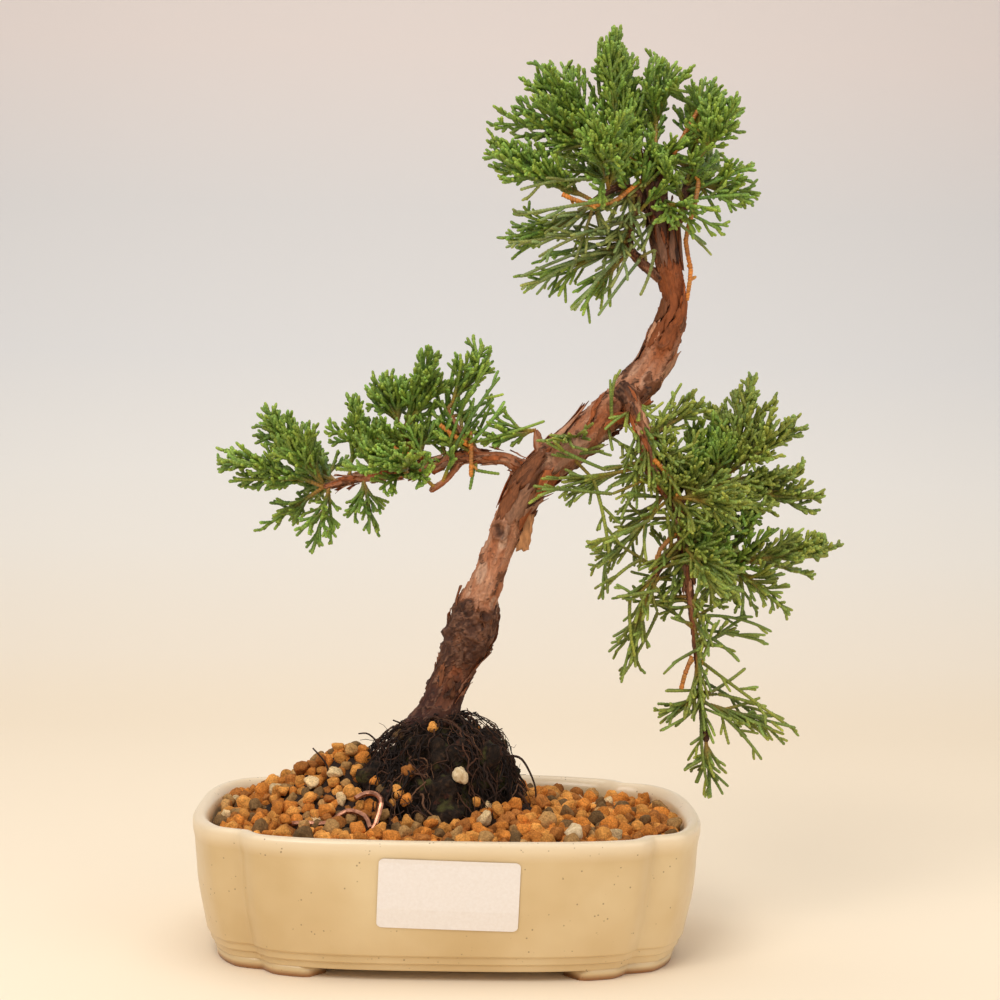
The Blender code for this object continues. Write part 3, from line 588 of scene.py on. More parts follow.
BRANCH_LINES = {
    "left_branch": ((32.8, -1.0, 183.9, 4.0), (24.8, -1.0, 186.4, 3.2), (19.4, -1.0, 188.9, 2.7),
                    (8.0, -1.0, 189.5, 2.5), (-0.9, 0.0, 188.6, 2.4), (-9.8, 0.5, 185.1, 2.2),
                    (-20.7, 0.0, 182.1, 2.0), (-29.5, -0.5, 181.1, 1.8), (-42.1, 0.0, 178.9, 1.5),
                    (-51.0, 0.0, 176.2, 1.2)),
    "right_branch": ((63.9, -2.0, 215.8, 5.0), (67.8, -6.0, 211.6, 3.8), (72.7, -9.0, 198.9, 3.1),
                     (77.6, -9.0, 183.4, 2.7), (86.0, -7.0, 170.5, 2.2), (88.8, -6.0, 159.1, 1.8),
                     (91.6, -5.0, 142.7, 1.5), (94.2, -4.0, 127.8, 1.1), (96.5, -3.0, 110.0, 0.85),
                     (98.5, -2.0, 94.1, 0.75), (100.9, -1.0, 79.3, 0.65)),
    "left_stub": ((1.8, 0.0, 187.0, 1.6), (-3.2, -1.0, 180.5, 1.3), (-9.6, -2.0, 175.5, 1.0)),
    "knot_stub": ((34.7, -2.0, 186.9, 3.0), (32.2, -3.0, 194.3, 2.2), (31.2, -3.0, 200.3, 1.1)),
    "fork_left": ((88.6, -6.0, 157.6, 1.8), (82.5, -8.0, 152.1, 1.6), (76.9, -9.0, 142.6, 1.1)),
    "left_upper_twig": ((-11.2, 0.5, 185.1, 1.4), (-17.2, 1.0, 193.1, 1.1),
                        (-22.2, 1.0, 201.1, 0.8)),
    "left_dead_twig": ((9.8, -1.0, 190.4, 1.2), (2.7, -3.0, 197.8, 1.0), (-3.3, -4.0, 207.8, 0.7)),
    "right_outer_twig": ((84.7, -7.0, 172.5, 1.8), (94.9, -2.0, 176.8, 1.4),
                         (105.2, 2.0, 182.9, 1.0)),
    "right_low_twig": ((89.1, -6.0, 156.6, 1.5), (98.8, -2.0, 152.8, 1.2),
                       (109.0, 2.0, 149.9, 0.9)),
    "crown_twig": ((78.3, 0.0, 260.2, 2.0), (70.1, -3.0, 266.6, 1.5), (65.7, -4.0, 272.6, 1.4),
                   (67.1, -4.0, 283.2, 1.3), (68.7, -5.0, 292.2, 1.2), (60.7, -8.0, 294.5, 1.0),
                   (50.8, -10.0, 288.3, 0.8)),
    "crown_upper_twig": ((74.4, 0.0, 300.7, 1.6), (67.4, 0.0, 304.7, 1.3),
                         (58.3, -1.0, 312.2, 1.0)),
    "crown_back_twig": ((77.4, 0.0, 284.5, 1.8), (69.6, 8.0, 290.0, 1.4), (61.8, 15.0, 296.5, 1.0)),
    "crown_right_twig": ((79.4, 0.0, 276.4, 1.8), (85.5, 1.0, 283.5, 1.4), (87.6, 2.0, 293.7, 1.1),
                         (89.7, 2.0, 303.9, 0.9)),
}


# %% A smooth line through a route
def smooth_line(stations, spacing):
    """Points (x, y, z, radius) along a Catmull-Rom curve through the stations."""
    stations = np.array(stations, float)
    padded = np.vstack([stations[:1], stations, stations[-1:]])
    out = []
    for p0, p1, p2, p3 in zip(padded, padded[1:], padded[2:], padded[3:]):
        count = max(2, int(np.linalg.norm(p2[:3] - p1[:3]) / spacing))
        t = np.arange(count)[:, None] / count
        out.append(0.5 * (2 * p1 + (p2 - p0) * t + (2 * p0 - 5 * p1 + 4 * p2 - p3) * t ** 2
                          + (3 * p1 - p0 - 3 * p2 + p3) * t ** 3))
    out.append(stations[-1:])
    return np.concatenate(out)


def line_frames(line):
    """Direction, side and other side at each point of a line, without twist."""
    along = np.gradient(line[:, :3], axis=0)
    along /= np.linalg.norm(along, axis=1)[:, None]
    side = np.cross(along[0], [0.0, 1.0, 0.0])
    side /= np.linalg.norm(side)
    sides = []
    for direction in along:
        side = side - direction * side.dot(direction)
        side /= np.linalg.norm(side)
        sides.append(side)
    sides = np.array(sides)
    return along, sides, np.cross(along, sides)


# %% A finder for the nearest wood
WOOD_POINTS = np.concatenate([smooth_line(stations, 1.0)
                              for stations in (TRUNK_LINE, *BRANCH_LINES.values())])
wood_finder = KDTree(len(WOOD_POINTS))
for number, point in enumerate(WOOD_POINTS):
    wood_finder.insert(Vector(point[:3]), number)
wood_finder.balance()
trunk_found = [wood_finder.find(Vector(p)) for p in node_points("trunk")[::7]]
off_line = [abs(distance - WOOD_POINTS[number][3]) for _, number, distance in trunk_found]
print("bark lies within", round(max(off_line), 1), "mm of the trunk's solid")

# %% [markdown]
# ## Bark
# Juniper bark is paper-thin sheets laid over each other. They split, curl and fall in patches,
# and leave smooth pinkish wood between rough brown rags. A bump map alone would leave the
# outline smooth, so the sheets are real steps in the mesh: a soft noise round the stem is cut
# into terraces. High terraces are old brown sheets and low ones are fresh wood. Each part of
# the trunk has its own share of old bark: almost bare above the rough swelling, ragged at the
# bend, smooth and rust-red near the crown.

# %% Bark heights and colours
OLD_BARK = (0.052, 0.019, 0.010)
BROWN_BARK = (0.150, 0.050, 0.018)
RUST_BARK = (0.33, 0.088, 0.022)
BARE_WOOD = (0.50, 0.240, 0.135)
DAMP_WOOD = (0.050, 0.012, 0.006)
PALE_WOOD = (0.62, 0.42, 0.30)
GREY_BARK = (0.19, 0.085, 0.048)
# height above the table: share of old bark, redness, dampness
BARK_CALENDAR = ((80.0, 0.4, 1.0, 1.0), (98.0, 0.1, 1.0, 0.85), (106.0, 0.3, 0.9, 0.4),
                 (114.0, 1.3, 0.5, 0.15), (129.0, 1.35, 0.4, 0.1), (135.0, -0.7, 0.3, 0.0),
                 (152.0, -1.15, 0.05, 0.0), (160.0, -0.7, 0.2, 0.0), (172.0, -0.75, 0.55, 0.0),
                 (186.0, -0.55, 0.55, 0.0), (200.0, -0.8, 0.35, 0.0), (222.0, -0.4, 0.5, 0.0),
                 (240.0, -0.3, 0.9, 0.1), (252.0, -0.7, 1.0, 0.15), (276.0, -0.5, 1.0, 0.2),
                 (286.0, 0.7, 0.8, 0.3), (320.0, 1.1, 0.7, 0.4))
# knots where twigs were cut: x, y, z and radius
KNOTS = ((17.4, -7.5, 161.0, 3.4), (36.0, -6.0, 192.0, 2.8), (61.0, -6.5, 210.0, 2.4),
         (12.0, -5.0, 128.0, 2.2), (79.0, -5.5, 236.0, 2.6), (4.0, 9.0, 118.0, 2.6),
         (58.0, 7.0, 214.0, 3.0), (26.0, 6.0, 176.0, 2.6), (83.0, 6.0, 262.0, 2.0))


def carve_knots(place, raised, colour, torn, knobs, coarse):
    """A swollen ring round a dark sunk heart wherever a twig was cut."""
    for x, y, z, radius in KNOTS:
        away = np.linalg.norm(place - np.array([x, y, z]), axis=1) / radius
        away = away * (1.0 + 0.35 * torn)
        ring = np.exp(-((away - 1.0) / 0.30) ** 2)
        hollow = np.exp(-(away / 0.55) ** 2)
        raised = raised + coarse * (1.2 * ring - 0.9 * hollow)
        heart = np.exp(-(away / 0.9) ** 4) * np.clip(0.8 + 0.5 * knobs, 0, 1)
        colour = blend_colours(colour, OLD_BARK, heart)
        rim = np.exp(-((away - 1.15) / 0.16) ** 2)
        colour = blend_colours(colour, BROWN_BARK, 0.6 * rim)
    return raised, colour


# %% Bark height and colour together
TERRACE_HEIGHT = 0.46
LIP_HEIGHT = 0.16
FIBRE_HEIGHT = 0.07
FINE_HEIGHT = 0.05
KNOB_HEIGHT = 1.15


def bark_heights(place, around, run, seed, coarse, calendar):
    """Height of the bark over the round stem, and its colour, for each point of a skin."""
    height = place[:, 2] + 5.0 * layered_noise(place * 0.19, seed + 9, 3)
    old_share, redness, damp = (np.interp(height, calendar[0], calendar[k]) for k in (1, 2, 3))

    def patches(turns, length, number, layers=1):
        """Noise stretched along the stem: cells for each turn, and millimetres along it."""
        return layered_noise(np.column_stack([around * turns, run / length + number * 7.3]),
                             number, layers)

    # sheets: a slow noise with torn edges, cut into steps
    plates = patches(1.15, 8.5, seed, 3) * 1.25 + old_share
    torn = patches(3.6, 2.6, seed + 1, 3) * 0.34
    steps = (plates + torn) * 1.5
    floor = np.floor(steps)
    part = steps - floor
    terrace = np.clip(floor + soft_step(part, 0.0, 0.12), -2.0, 3.0)
    edge = 1.0 - soft_step(np.abs(part - 0.05), 0.02, 0.13)
    lip = 1.0 - soft_step(np.abs(part - 0.24), 0.04, 0.16)

    # what lies on every sheet: fibres along the stem, and knobs where the bark is old
    fibre = patches(7.0, 12.0, seed + 2, 2)
    fine = patches(16.0, 4.0, seed + 3, 2)
    knobs = patches(3.0, 3.2, seed + 4, 4)
    rough = soft_step(old_share, 0.6, 1.3)
    raised = coarse * (terrace * TERRACE_HEIGHT + lip * LIP_HEIGHT + fibre * FIBRE_HEIGHT
                       + fine * FINE_HEIGHT + rough * knobs * KNOB_HEIGHT)

    # colour: low sheets are fresh wood and high ones are old
    age = soft_step(terrace + 0.5 * torn, -0.6, 2.2)
    broad = patches(1.6, 16.0, seed + 6, 2)
    pale = soft_step(patches(2.2, 9.0, seed + 7, 2), 0.12, 0.6) * (1 - redness) * 0.7
    fresh = blend_colours(BARE_WOOD, RUST_BARK, np.clip(redness + 0.65 * broad, 0, 1))
    fresh = blend_colours(fresh, PALE_WOOD, pale)
    colour = blend_colours(fresh, BROWN_BARK, soft_step(age, 0.15, 0.60))
    colour = blend_colours(colour, OLD_BARK, soft_step(age, 0.60, 1.0) * 0.75)
    colour = blend_colours(colour, GREY_BARK, 0.6 * rough * soft_step(knobs, 0.0, 0.5))
    colour = blend_colours(colour, DAMP_WOOD, np.clip(damp * (0.95 + 0.3 * broad), 0, 1))

    # painted highlight on the curled lips, where they would catch the light, and painted shade in the
    # cracks beside them
    curled_lip_highlight = lip * soft_step(steps, -1.2, -0.2) * (0.6 + 0.6 * patches(2.6, 5.0, seed + 8, 2))
    crack_shade = 0.85 * edge * soft_step(steps, -1.6, -0.4)
    colour = blend_colours(colour, np.array(BARE_WOOD) * 0.75, np.clip(0.55 * curled_lip_highlight, 0, 1))
    colour = blend_colours(colour, np.array(OLD_BARK) * 0.5, crack_shade)
    raised, colour = carve_knots(place, raised, colour, torn, knobs, coarse)
    return raised, colour * (1.0 + 0.12 * fibre + 0.14 * fine + 0.10 * torn)[:, None]


# %% A stem in its bark
THINNEST_STEM = 0.3
END_ROUNDING = 1.2


def bark_tube(name, stations, sides, spacing, seed, coarse, calendar=BARK_CALENDAR):
    """A stem with its bark, as one closed skin with a rounded end."""
    line = smooth_line(stations, spacing)
    _, side, other = line_frames(line)
    turn = np.linspace(0, math.tau, sides, endpoint=False)
    out = (side[:, None] * np.cos(turn)[None, :, None]
           + other[:, None] * np.sin(turn)[None, :, None])
    run = np.concatenate([[0], np.cumsum(np.linalg.norm(np.diff(line[:, :3], axis=0), axis=1))])
    around = np.tile(np.stack([np.cos(turn), np.sin(turn)], -1), (len(line), 1))
    surface = (line[:, None, :3] + out * line[:, 3][:, None, None]).reshape(-1, 3)
    raised, colour = bark_heights(surface, around, np.repeat(run, sides), seed, coarse,
                                  np.array(calendar).T)
    swell = 1.0 + 0.09 * lattice_noise(surface * 0.16, 1)
    to_end = np.linalg.norm(line[:, :3] - line[-1, :3], axis=1)
    cut_round = np.sqrt(np.clip(1 - (1 - np.clip(to_end / END_ROUNDING, 0, 1)) ** 2, 0.35, 1))
    radius = line[:, 3:4] * swell.reshape(-1, sides) + raised.reshape(-1, sides)
    radius = np.maximum(radius * cut_round[:, None], THINNEST_STEM)
    points = line[:, None, :3] + out * radius[..., None]
    return new_mesh(name, points.reshape(-1, 3), closed_rings(len(line), sides), colour)


# %% [markdown]
# ## The finish of bark
# The colours are painted on the points already, because they follow the sheets. What is left is
# finer than the mesh: fibres that run up the stem. A noise drawn out along the height gives them
# as light and dark and as a bump.

# %% Bark material
def make_bark():
    """Painted bark colour broken up by fine fibres, dull with a faint sheen on bare wood."""
    bark, shader = new_material("juniper_bark", 0.72, Specular_IOR_Level=0.35)
    stretch = add_node(bark, "Mapping", [("Vector", place_of(bark))])
    stretch.inputs["Scale"].default_value = (1.0, 1.0, 0.35)
    grain = noise_of(bark, 1400.0, 6.0, stretch.outputs["Vector"])
    feed(bark, shader, "Base Color", shaded_tint(bark, grain, (0.30, 0.74), (0.70, 1.18)))
    bump_of(bark, shader, grain, 0.45, 0.0006)
    return bark


bark = make_bark()
print("bark is made of", len(bark.node_tree.nodes), "nodes")

# %% Trunk and branches
trunk_skin = bark_tube("trunk_bark", TRUNK_LINE, 110, 0.45, seed=11, coarse=1.0)
add_piece(trunk_skin, bark, "juniper_bark", "trunk")
# the branches' own calendar: height, share of old bark, redness, dampness
BRANCH_CALENDAR = ((60.0, 0.5, 0.5, 0.2), (150.0, 0.2, 0.7, 0.2), (172.0, 0.0, 0.8, 0.0),
                   (182.0, -0.8, 0.75, 0.0), (194.0, -0.8, 0.6, 0.0), (215.0, 0.2, 0.7, 0.0),
                   (280.0, 0.6, 0.6, 0.3), (320.0, 0.8, 0.6, 0.3))
for number, (name, stations) in enumerate(BRANCH_LINES.items()):
    thick = name in ("left_branch", "right_branch")
    skin = bark_tube(name + "_bark", stations, 40 if thick else 24, 0.4, 31 + 5 * number,
                     0.55 if thick else 0.42, BRANCH_CALENDAR)
    add_piece(skin, bark, "juniper_bark", "trunk")
print("trunk bark has", len(trunk_skin.data.polygons), "faces")

# %% [markdown]
# ## Loose bark
# Flakes that have let go at one end. Each is a thin curved plate that follows the stem where it
# still holds and lifts away towards its free end, with a torn outline. They could be hair cards
# with a cut-out, but a plate with real thickness shows its pale inner face from below. A table
# lays them out: dark rags at the swelling and the top, warm ones on the bend and the branches.

# %% Flakes of bark
FLAKE_THICKNESS = 0.25
FLAKE_GAP = 0.25
FLAKE_ROWS, FLAKE_COLUMNS = 9, 6


def bark_flake(rng, line, frames, ring, angle, length, width, lift):
    """Points of one flake, outer face then inner face."""
    side, other = frames[1:]
    spacing = np.linalg.norm(line[1, :3] - line[0, :3])
    curl, skew = rng.uniform(-0.3, 1.0), rng.uniform(-0.7, 0.7)
    torn = [rng.uniform(0.75, 1.15) for _ in range(FLAKE_ROWS)]
    outer, inner = [], []
    for i in range(FLAKE_ROWS):
        t = i / (FLAKE_ROWS - 1)
        for j in range(FLAKE_COLUMNS):
            u = j / (FLAKE_COLUMNS - 1) - 0.5
            reach = ring + ((t - 0.5) * length + skew * u * width
                            + 0.12 * length * math.sin(9.0 * u + ring)) / spacing
            row = int(np.clip(reach, 0, len(line) - 1))
            belly = math.sin(math.pi * min(1.0, t * 1.15 + 0.12))
            narrow = width * torn[i] * (0.45 + 0.55 * belly)
            here = angle + u * narrow / line[row, 3] + skew * 0.25 * (t - 0.5)
            out = side[row] * math.cos(here) + other[row] * math.sin(here)
            away = line[row, 3] + FLAKE_GAP + lift * t ** 1.8 + curl * 1.1 * (2 * u) ** 2 * t
            outer.append(line[row, :3] + out * (away + FLAKE_THICKNESS))
            inner.append(line[row, :3] + out * away)
    return outer + inner


def plate_faces(rows, columns):
    """Faces of a thin closed plate whose outer points come first."""
    half = rows * columns
    faces = []
    for i in range(rows - 1):
        for j in range(columns - 1):
            a = i * columns + j
            faces.append((a, a + 1, a + columns + 1, a + columns))
            faces.append((a + half, a + columns + half, a + columns + 1 + half, a + 1 + half))
    rim = list(range(columns))
    rim += [i * columns + columns - 1 for i in range(1, rows)]
    rim += [(rows - 1) * columns + j for j in range(columns - 2, -1, -1)]
    rim += [i * columns for i in range(rows - 2, 0, -1)]
    for a, b in zip(rim, rim[1:] + rim[:1]):
        faces.append((b, a, a + half, b + half))
    return np.array(faces)


# %% Sets of flakes
DARK_FLAKES = (OLD_BARK, BROWN_BARK, BROWN_BARK, GREY_BARK)
DULL_WOOD = tuple(0.6 * c for c in BARE_WOOD)
LIGHT_WOOD = tuple(0.9 * c for c in BARE_WOOD)
WARM_FLAKES = (BROWN_BARK, RUST_BARK, RUST_BARK, DULL_WOOD, LIGHT_WOOD)
# name, stem, count, seed, heights between which they hang, (lengths, widths, largest lift), tones
FLAKE_SETS = (
    ("trunk_flakes_bend", TRUNK_LINE, 52, 5, (164.0, 250.0),
     ((3.5, 9.0), (3.0, 7.5), 2.0), WARM_FLAKES),
    ("trunk_flakes_top", TRUNK_LINE, 60, 9, (272.0, 310.0),
     ((3.0, 10.0), (1.5, 3.6), 2.2), DARK_FLAKES),
    ("trunk_flakes_swelling", TRUNK_LINE, 70, 6, (98.0, 133.0),
     ((2.0, 5.0), (2.0, 4.5), 1.1), DARK_FLAKES),
    ("left_branch_flakes", BRANCH_LINES["left_branch"], 56, 7, (174.0, 194.0),
     ((1.6, 4.2), (1.2, 3.0), 1.2), WARM_FLAKES[1:]),
    ("right_branch_flakes", BRANCH_LINES["right_branch"], 60, 8, (140.0, 218.0),
     ((2.0, 5.0), (1.2, 2.6), 1.2), WARM_FLAKES),
)


def make_flakes(name, stations, count, seed, heights, sizes, tones):
    """Many flakes along one stem, within a band of heights."""
    rng = random.Random(seed)
    line = smooth_line(stations, 0.6)
    frames = line_frames(line)
    rows = [i for i in range(len(line)) if heights[0] <= line[i, 2] <= heights[1]]
    faces = plate_faces(FLAKE_ROWS, FLAKE_COLUMNS)
    points, polygons, tints = [], [], []
    for _ in range(count):
        ring, angle = rng.choice(rows), rng.uniform(0, math.tau)
        length, width = rng.uniform(*sizes[0]), rng.uniform(*sizes[1])
        flake = bark_flake(rng, line, frames, ring, angle, length, width,
                           rng.uniform(0.1, sizes[2]))
        polygons.append(faces + len(points))
        points += flake
        outside = np.array(rng.choice(tones)) * rng.uniform(0.7, 1.4)
        inside = np.array(rng.choice((RUST_BARK, BARE_WOOD))) * rng.uniform(0.6, 1.0)
        tints += [outside] * (len(flake) // 2) + [inside] * (len(flake) // 2)
    points = np.array(points)
    tints = np.array(tints) * (1.0 + 0.35 * layered_noise(points * 0.9, seed, 2))[:, None]
    return new_mesh(name, points, polygons, tints)


for row in FLAKE_SETS:
    add_piece(make_flakes(*row), bark, "juniper_bark")
print("loose flakes:", sum(row[2] for row in FLAKE_SETS))


# %% The big hanging flake
HANGING_ROWS, HANGING_COLUMNS = 14, 9
HANGING_HALF_THICKNESS = np.array([0.0, 0.2, 0.0])
HANGING_TONE = np.array([0.38, 0.17, 0.065])


def make_hanging_flake():
    """The big loose flake under the trunk's bend, in place of its solid."""
    low, high = node_points("bark_flake").min(0), node_points("bark_flake").max(0)
    middle, size = (low + high) / 2, high - low
    outer, inner = [], []
    for i in range(HANGING_ROWS):
        t = i / (HANGING_ROWS - 1)
        for j in range(HANGING_COLUMNS):
            u = j / (HANGING_COLUMNS - 1) - 0.5
            ragged = 0.06 * math.sin(11 * u + 3 * t) + 0.05 * math.sin(23 * t + 4)
            across = (u + ragged) * (0.30 + 0.14 * t) + 0.30 * (0.5 - t) - 0.10
            bowed = 0.35 * math.cos(2.6 * u) * (t - 0.4)
            down = 0.5 - t + ragged * 0.5 * (t > 0.9)
            place = middle + size * np.array([across, bowed, down])
            outer.append(place - HANGING_HALF_THICKNESS)
            inner.append(place + HANGING_HALF_THICKNESS)
    points = np.array(outer + inner)
    shade = 1.0 + 0.5 * layered_noise(points * np.array([1.2, 1.2, 0.3]), 3, 3)
    faces = plate_faces(HANGING_ROWS, HANGING_COLUMNS)
    return new_mesh("hanging_flake", points, [faces], HANGING_TONE * shade[:, None])


hanging_flake = add_piece(make_hanging_flake(), bark, "juniper_bark", "bark_flake")
print("the hanging flake is", round(hanging_flake.dimensions.z / MM, 1), "mm long")

# %% [markdown]
# ## Shoots
# A juniper shoot is a cord of tiny overlapping scales in crossed pairs, about a millimetre and a
# half thick, with a blunt tip of fresher green. Thousands are needed. A particle system would be
# quick, but it leaves no real mesh. Here every shoot is a short bent tube, and all the tubes of
# one plume are built in a single array operation. The scales are a saw-tooth swelling of the
# tube that alternates between its two sides, so they show in the outline as well.

# %% Colour of a shoot
# painted shade: a scale is darkest at its foot, in the groove under the scale before it, and lightens
# towards its free end
PAINTED_SCALE_SHADE = 0.48
# red, green and blue of a middling shoot, and how they move on a warmer one
MIDDLING = np.array([1.06, 1.0, 0.95])
WARMING = np.array([0.36, 0.05, -0.3])


def shoot_colours(age, hue, saw, greens):
    """Old, full or new green by age, with painted shade at the foot of each scale that lightens
    towards its free end, some shoots warmer.
    """
    old, full, new = (np.array(greens[key]) for key in ("old", "full", "new"))
    age = age[:, None, None]
    colour = np.where(age < 1.0,
                      old + (full - old) * np.clip(age, 0, 1),
                      full + (new - full) * np.clip(age - 1.0, 0, 1))
    # painted shade in the grooves between scales, from the saw-tooth
    colour = colour * (PAINTED_SCALE_SHADE + saw)[..., None] * (0.74 + 0.50 * hue)[:, None, None]
    warm = (hue * 7.3) % 1.0 - 0.5
    return colour * (MIDDLING + WARMING * warm[:, None])[:, None]


# %% One mesh from many shoots
SHOOT_SIDES = 6
RING_SPACING = 0.36
SCALE_LENGTH = 1.25
SCALE_SWELL = 0.36
TIP_CLOSENESS = 1.15


def shoots_mesh(name, shoots, greens):
    """shoots: rows of start, direction, length, bend, two radii, two ages and a hue."""
    start, direction, bend = (np.array([s[k] for s in shoots]) for k in (0, 1, 3))
    length, r0, r1, age0, age1, hue = (np.array([s[k] for s in shoots]) for k in (2, 4, 5, 6, 7, 8))

    # rings of each shoot, a little closer together near its tip
    counts = np.maximum(5, np.ceil(length / RING_SPACING).astype(int) + 1)
    owner = np.repeat(np.arange(len(shoots)), counts)
    first = np.concatenate([[0], np.cumsum(counts)[:-1]])
    step = np.arange(len(owner)) - first[owner]
    t = 1.0 - (1.0 - step / (counts[owner] - 1)) ** TIP_CLOSENESS
    L = length[owner]
    centre = start[owner] + direction[owner] * (L * t)[:, None] + bend[owner] * (L * t * t)[:, None]
    along = direction[owner] + 2 * bend[owner] * t[:, None]
    along /= np.linalg.norm(along, axis=1)[:, None]
    aside = np.cross(direction, [0.31, 0.17, 0.93])
    aside /= np.linalg.norm(aside, axis=1)[:, None] + 1e-9
    side = aside[owner] - along * np.sum(aside[owner] * along, axis=1)[:, None]
    side /= np.linalg.norm(side, axis=1)[:, None]
    other = np.cross(along, side)

    # radius: tapered, blunt at the tip, and swollen by scales in crossed pairs
    radius = r0[owner] + (r1 - r0)[owner] * t
    to_tip = L * (1.0 - t)
    blunt = np.clip(1 - (1 - np.clip(to_tip / (radius * 1.3), 0, 1)) ** 2, 0.02, 1)
    radius = radius * np.sqrt(blunt)
    own_turn = (hue * 40)[owner][:, None]
    turn = np.linspace(0, math.tau, SHOOT_SIDES, endpoint=False)[None, :] + own_turn
    phase = (to_tip / SCALE_LENGTH)[:, None]
    front = np.cos(turn - own_turn) ** 2
    saw = front * ((phase + 0.2) % 1.0) + (1 - front) * ((phase + 0.7) % 1.0)
    swell = 1.0 + SCALE_SWELL * (saw - 0.5)
    out = side[:, None] * np.cos(turn)[..., None] + other[:, None] * np.sin(turn)[..., None]
    points = centre[:, None] + out * (radius[:, None] * swell)[..., None]
    age = age0[owner] + (age1 - age0)[owner] * t
    colour = shoot_colours(age, hue[owner], saw, greens)

    # quads between rings, a cap at the foot and one at the tip
    k = np.arange(SHOOT_SIDES)
    n = (k + 1) % SHOOT_SIDES
    rows = np.flatnonzero(step < counts[owner] - 1)[:, None] * SHOOT_SIDES
    quads = np.stack([rows + k, rows + n, rows + SHOOT_SIDES + n, rows + SHOOT_SIDES + k], -1)
    foot = first[:, None] * SHOOT_SIDES + k[::-1]
    tip = (first + counts - 1)[:, None] * SHOOT_SIDES + k
    return new_mesh(name, points.reshape(-1, 3), [quads.reshape(-1, 4), foot, tip],
                    colour.reshape(-1, 3))


print("scales on a shoot of 10 mm:", round(10.0 / SCALE_LENGTH), "in each row")

# %% [markdown]
# ## Growing a plume
# Each plume fills one of the frame's spray solids. Its leader starts in the nearest wood and
# runs to the far end of the solid, and several arms leave it for other corners of the solid, so
# the crown keeps its outline. Leader and arms carry side shoots in one plane, like the barbs of
# a feather, and those carry short ones in turn. A ray tells each side shoot how far it may grow
# before it would leave the solid. Open plumes and long cords use the same rules with wider gaps.

# %% Growth habits and greens
# arms of the leader, gap and length of side shoots and of the finer ones on them, upward lift,
# radius, growth allowed past the solid, and the bare share at the foot of a stem
HABITS = {
    "dense": {"arms": 9, "gap": 2.5, "side": 10.5, "fine_gap": 2.3, "fine": 4.2, "lift": 0.16,
              "radius": 0.68, "over": 3.0, "first": 0.10},
    "open": {"arms": 6, "gap": 3.6, "side": 11.0, "fine_gap": 3.6, "fine": 4.4, "lift": 0.05,
             "radius": 0.64, "over": 3.0, "first": 0.16},
    "cord": {"arms": 9, "gap": 7.5, "side": 12.0, "fine_gap": 9.0, "fine": 5.0, "lift": -0.05,
             "radius": 0.60, "over": 4.0, "first": 0.26},
}
print("growth habits:", list(HABITS))

GREENS = {
    "fresh": {"old": (0.36, 0.17, 0.030), "full": (0.094, 0.170, 0.020), "new": (0.26, 0.40, 0.055)},
    "olive": {"old": (0.38, 0.19, 0.040), "full": (0.126, 0.172, 0.024), "new": (0.29, 0.37, 0.065)},
    "shaded": {"old": (0.34, 0.19, 0.045), "full": (0.125, 0.170, 0.046), "new": (0.28, 0.35, 0.100)},
}
print("palettes:", list(GREENS))

# %% Directions and places on a shoot
UP = np.array([0.0, 0.0, 1.0])


def unit(vector):
    """The vector at length 1."""
    return vector / (np.linalg.norm(vector) + 1e-9)


def random_way(rng, spread=1.0):
    """Three random numbers round zero, as a vector."""
    return np.array([rng.gauss(0, spread) for _ in "xyz"])


def turned(direction, about, angle):
    """A direction turned about an axis (Rodrigues)."""
    about = unit(about)
    return (direction * math.cos(angle) + np.cross(about, direction) * math.sin(angle)
            + about * about.dot(direction) * (1 - math.cos(angle)))


def at_share(shoot, t):
    """Place and direction at a share of a shoot."""
    start, direction, length, bend = shoot[:4]
    return start + direction * length * t + bend * length * t * t, unit(direction + 2 * bend * t)


# %% Shoots towards a target, and how far they may reach
FOOT_SWELL = 1.18
TIP_AGE = 1.8


def shoot_to(start, heading, target, habit, rng, age):
    """A shoot that starts along a heading and ends at a target."""
    way = target - start
    length = np.linalg.norm(way)
    direction = unit(0.45 * unit(heading) + unit(way) + 0.12 * random_way(rng))
    return (start, direction, length, way / length - direction, habit["radius"] * FOOT_SWELL,
            habit["radius"], age, TIP_AGE, rng.random())


def reach_of(tree, place, heading, longest, over):
    """How far a shoot may grow before it leaves the solid."""
    if tree is None:
        return longest
    hit = tree.ray_cast(Vector(place), Vector(heading))
    return min(longest, over if hit[0] is None else hit[3] + over)


# %% Side shoots, like the barbs of a feather
SHORTEST_BARB = 1.3
SHORTEST_FORKED_BARB = 3.4


def grow_barbs(parent, tree, habit, rng, plane, first, age, depth):
    """Side shoots of a shoot, in one plane and on alternate sides, with finer ones on them."""
    length = parent[2]
    gap = habit["gap"] if depth == 0 else habit["fine_gap"]
    longest = habit["side"] if depth == 0 else habit["fine"]
    barbs = []
    flip = rng.choice((-1, 1))
    t = first + rng.uniform(0.0, gap) / length
    while t < 1.0 - 0.9 / length:
        place, heading = at_share(parent, t)
        flip = -flip
        axis = turned(plane, heading, rng.gauss(0.0, 0.42))
        way = turned(heading, axis, flip * rng.uniform(0.50, 0.86))
        taper = min(1.0, 0.42 + 1.25 * (1.0 - t)) * min(1.0, 0.6 + 1.4 * t)
        grown = longest * taper * rng.uniform(0.62, 1.15)
        grown = reach_of(tree, place, way, grown, habit["over"])
        if grown > SHORTEST_BARB:
            lift = UP * habit["lift"] * rng.uniform(0.2, 1.6)
            bend = lift - unit(way - heading) * rng.uniform(0.02, 0.2)
            thin = habit["radius"] * rng.uniform(0.86, 0.98)
            barb = (place, way, grown, bend, habit["radius"], thin,
                    age + 0.35 * t, 1.75 + 0.25 * t, rng.random())
            barbs.append(barb)
            if depth == 0 and grown > SHORTEST_FORKED_BARB:
                barbs += grow_barbs(barb, tree, habit, rng, axis, 0.24, age + 0.3, 1)
        t += gap * rng.uniform(0.7, 1.3) / length
    return barbs


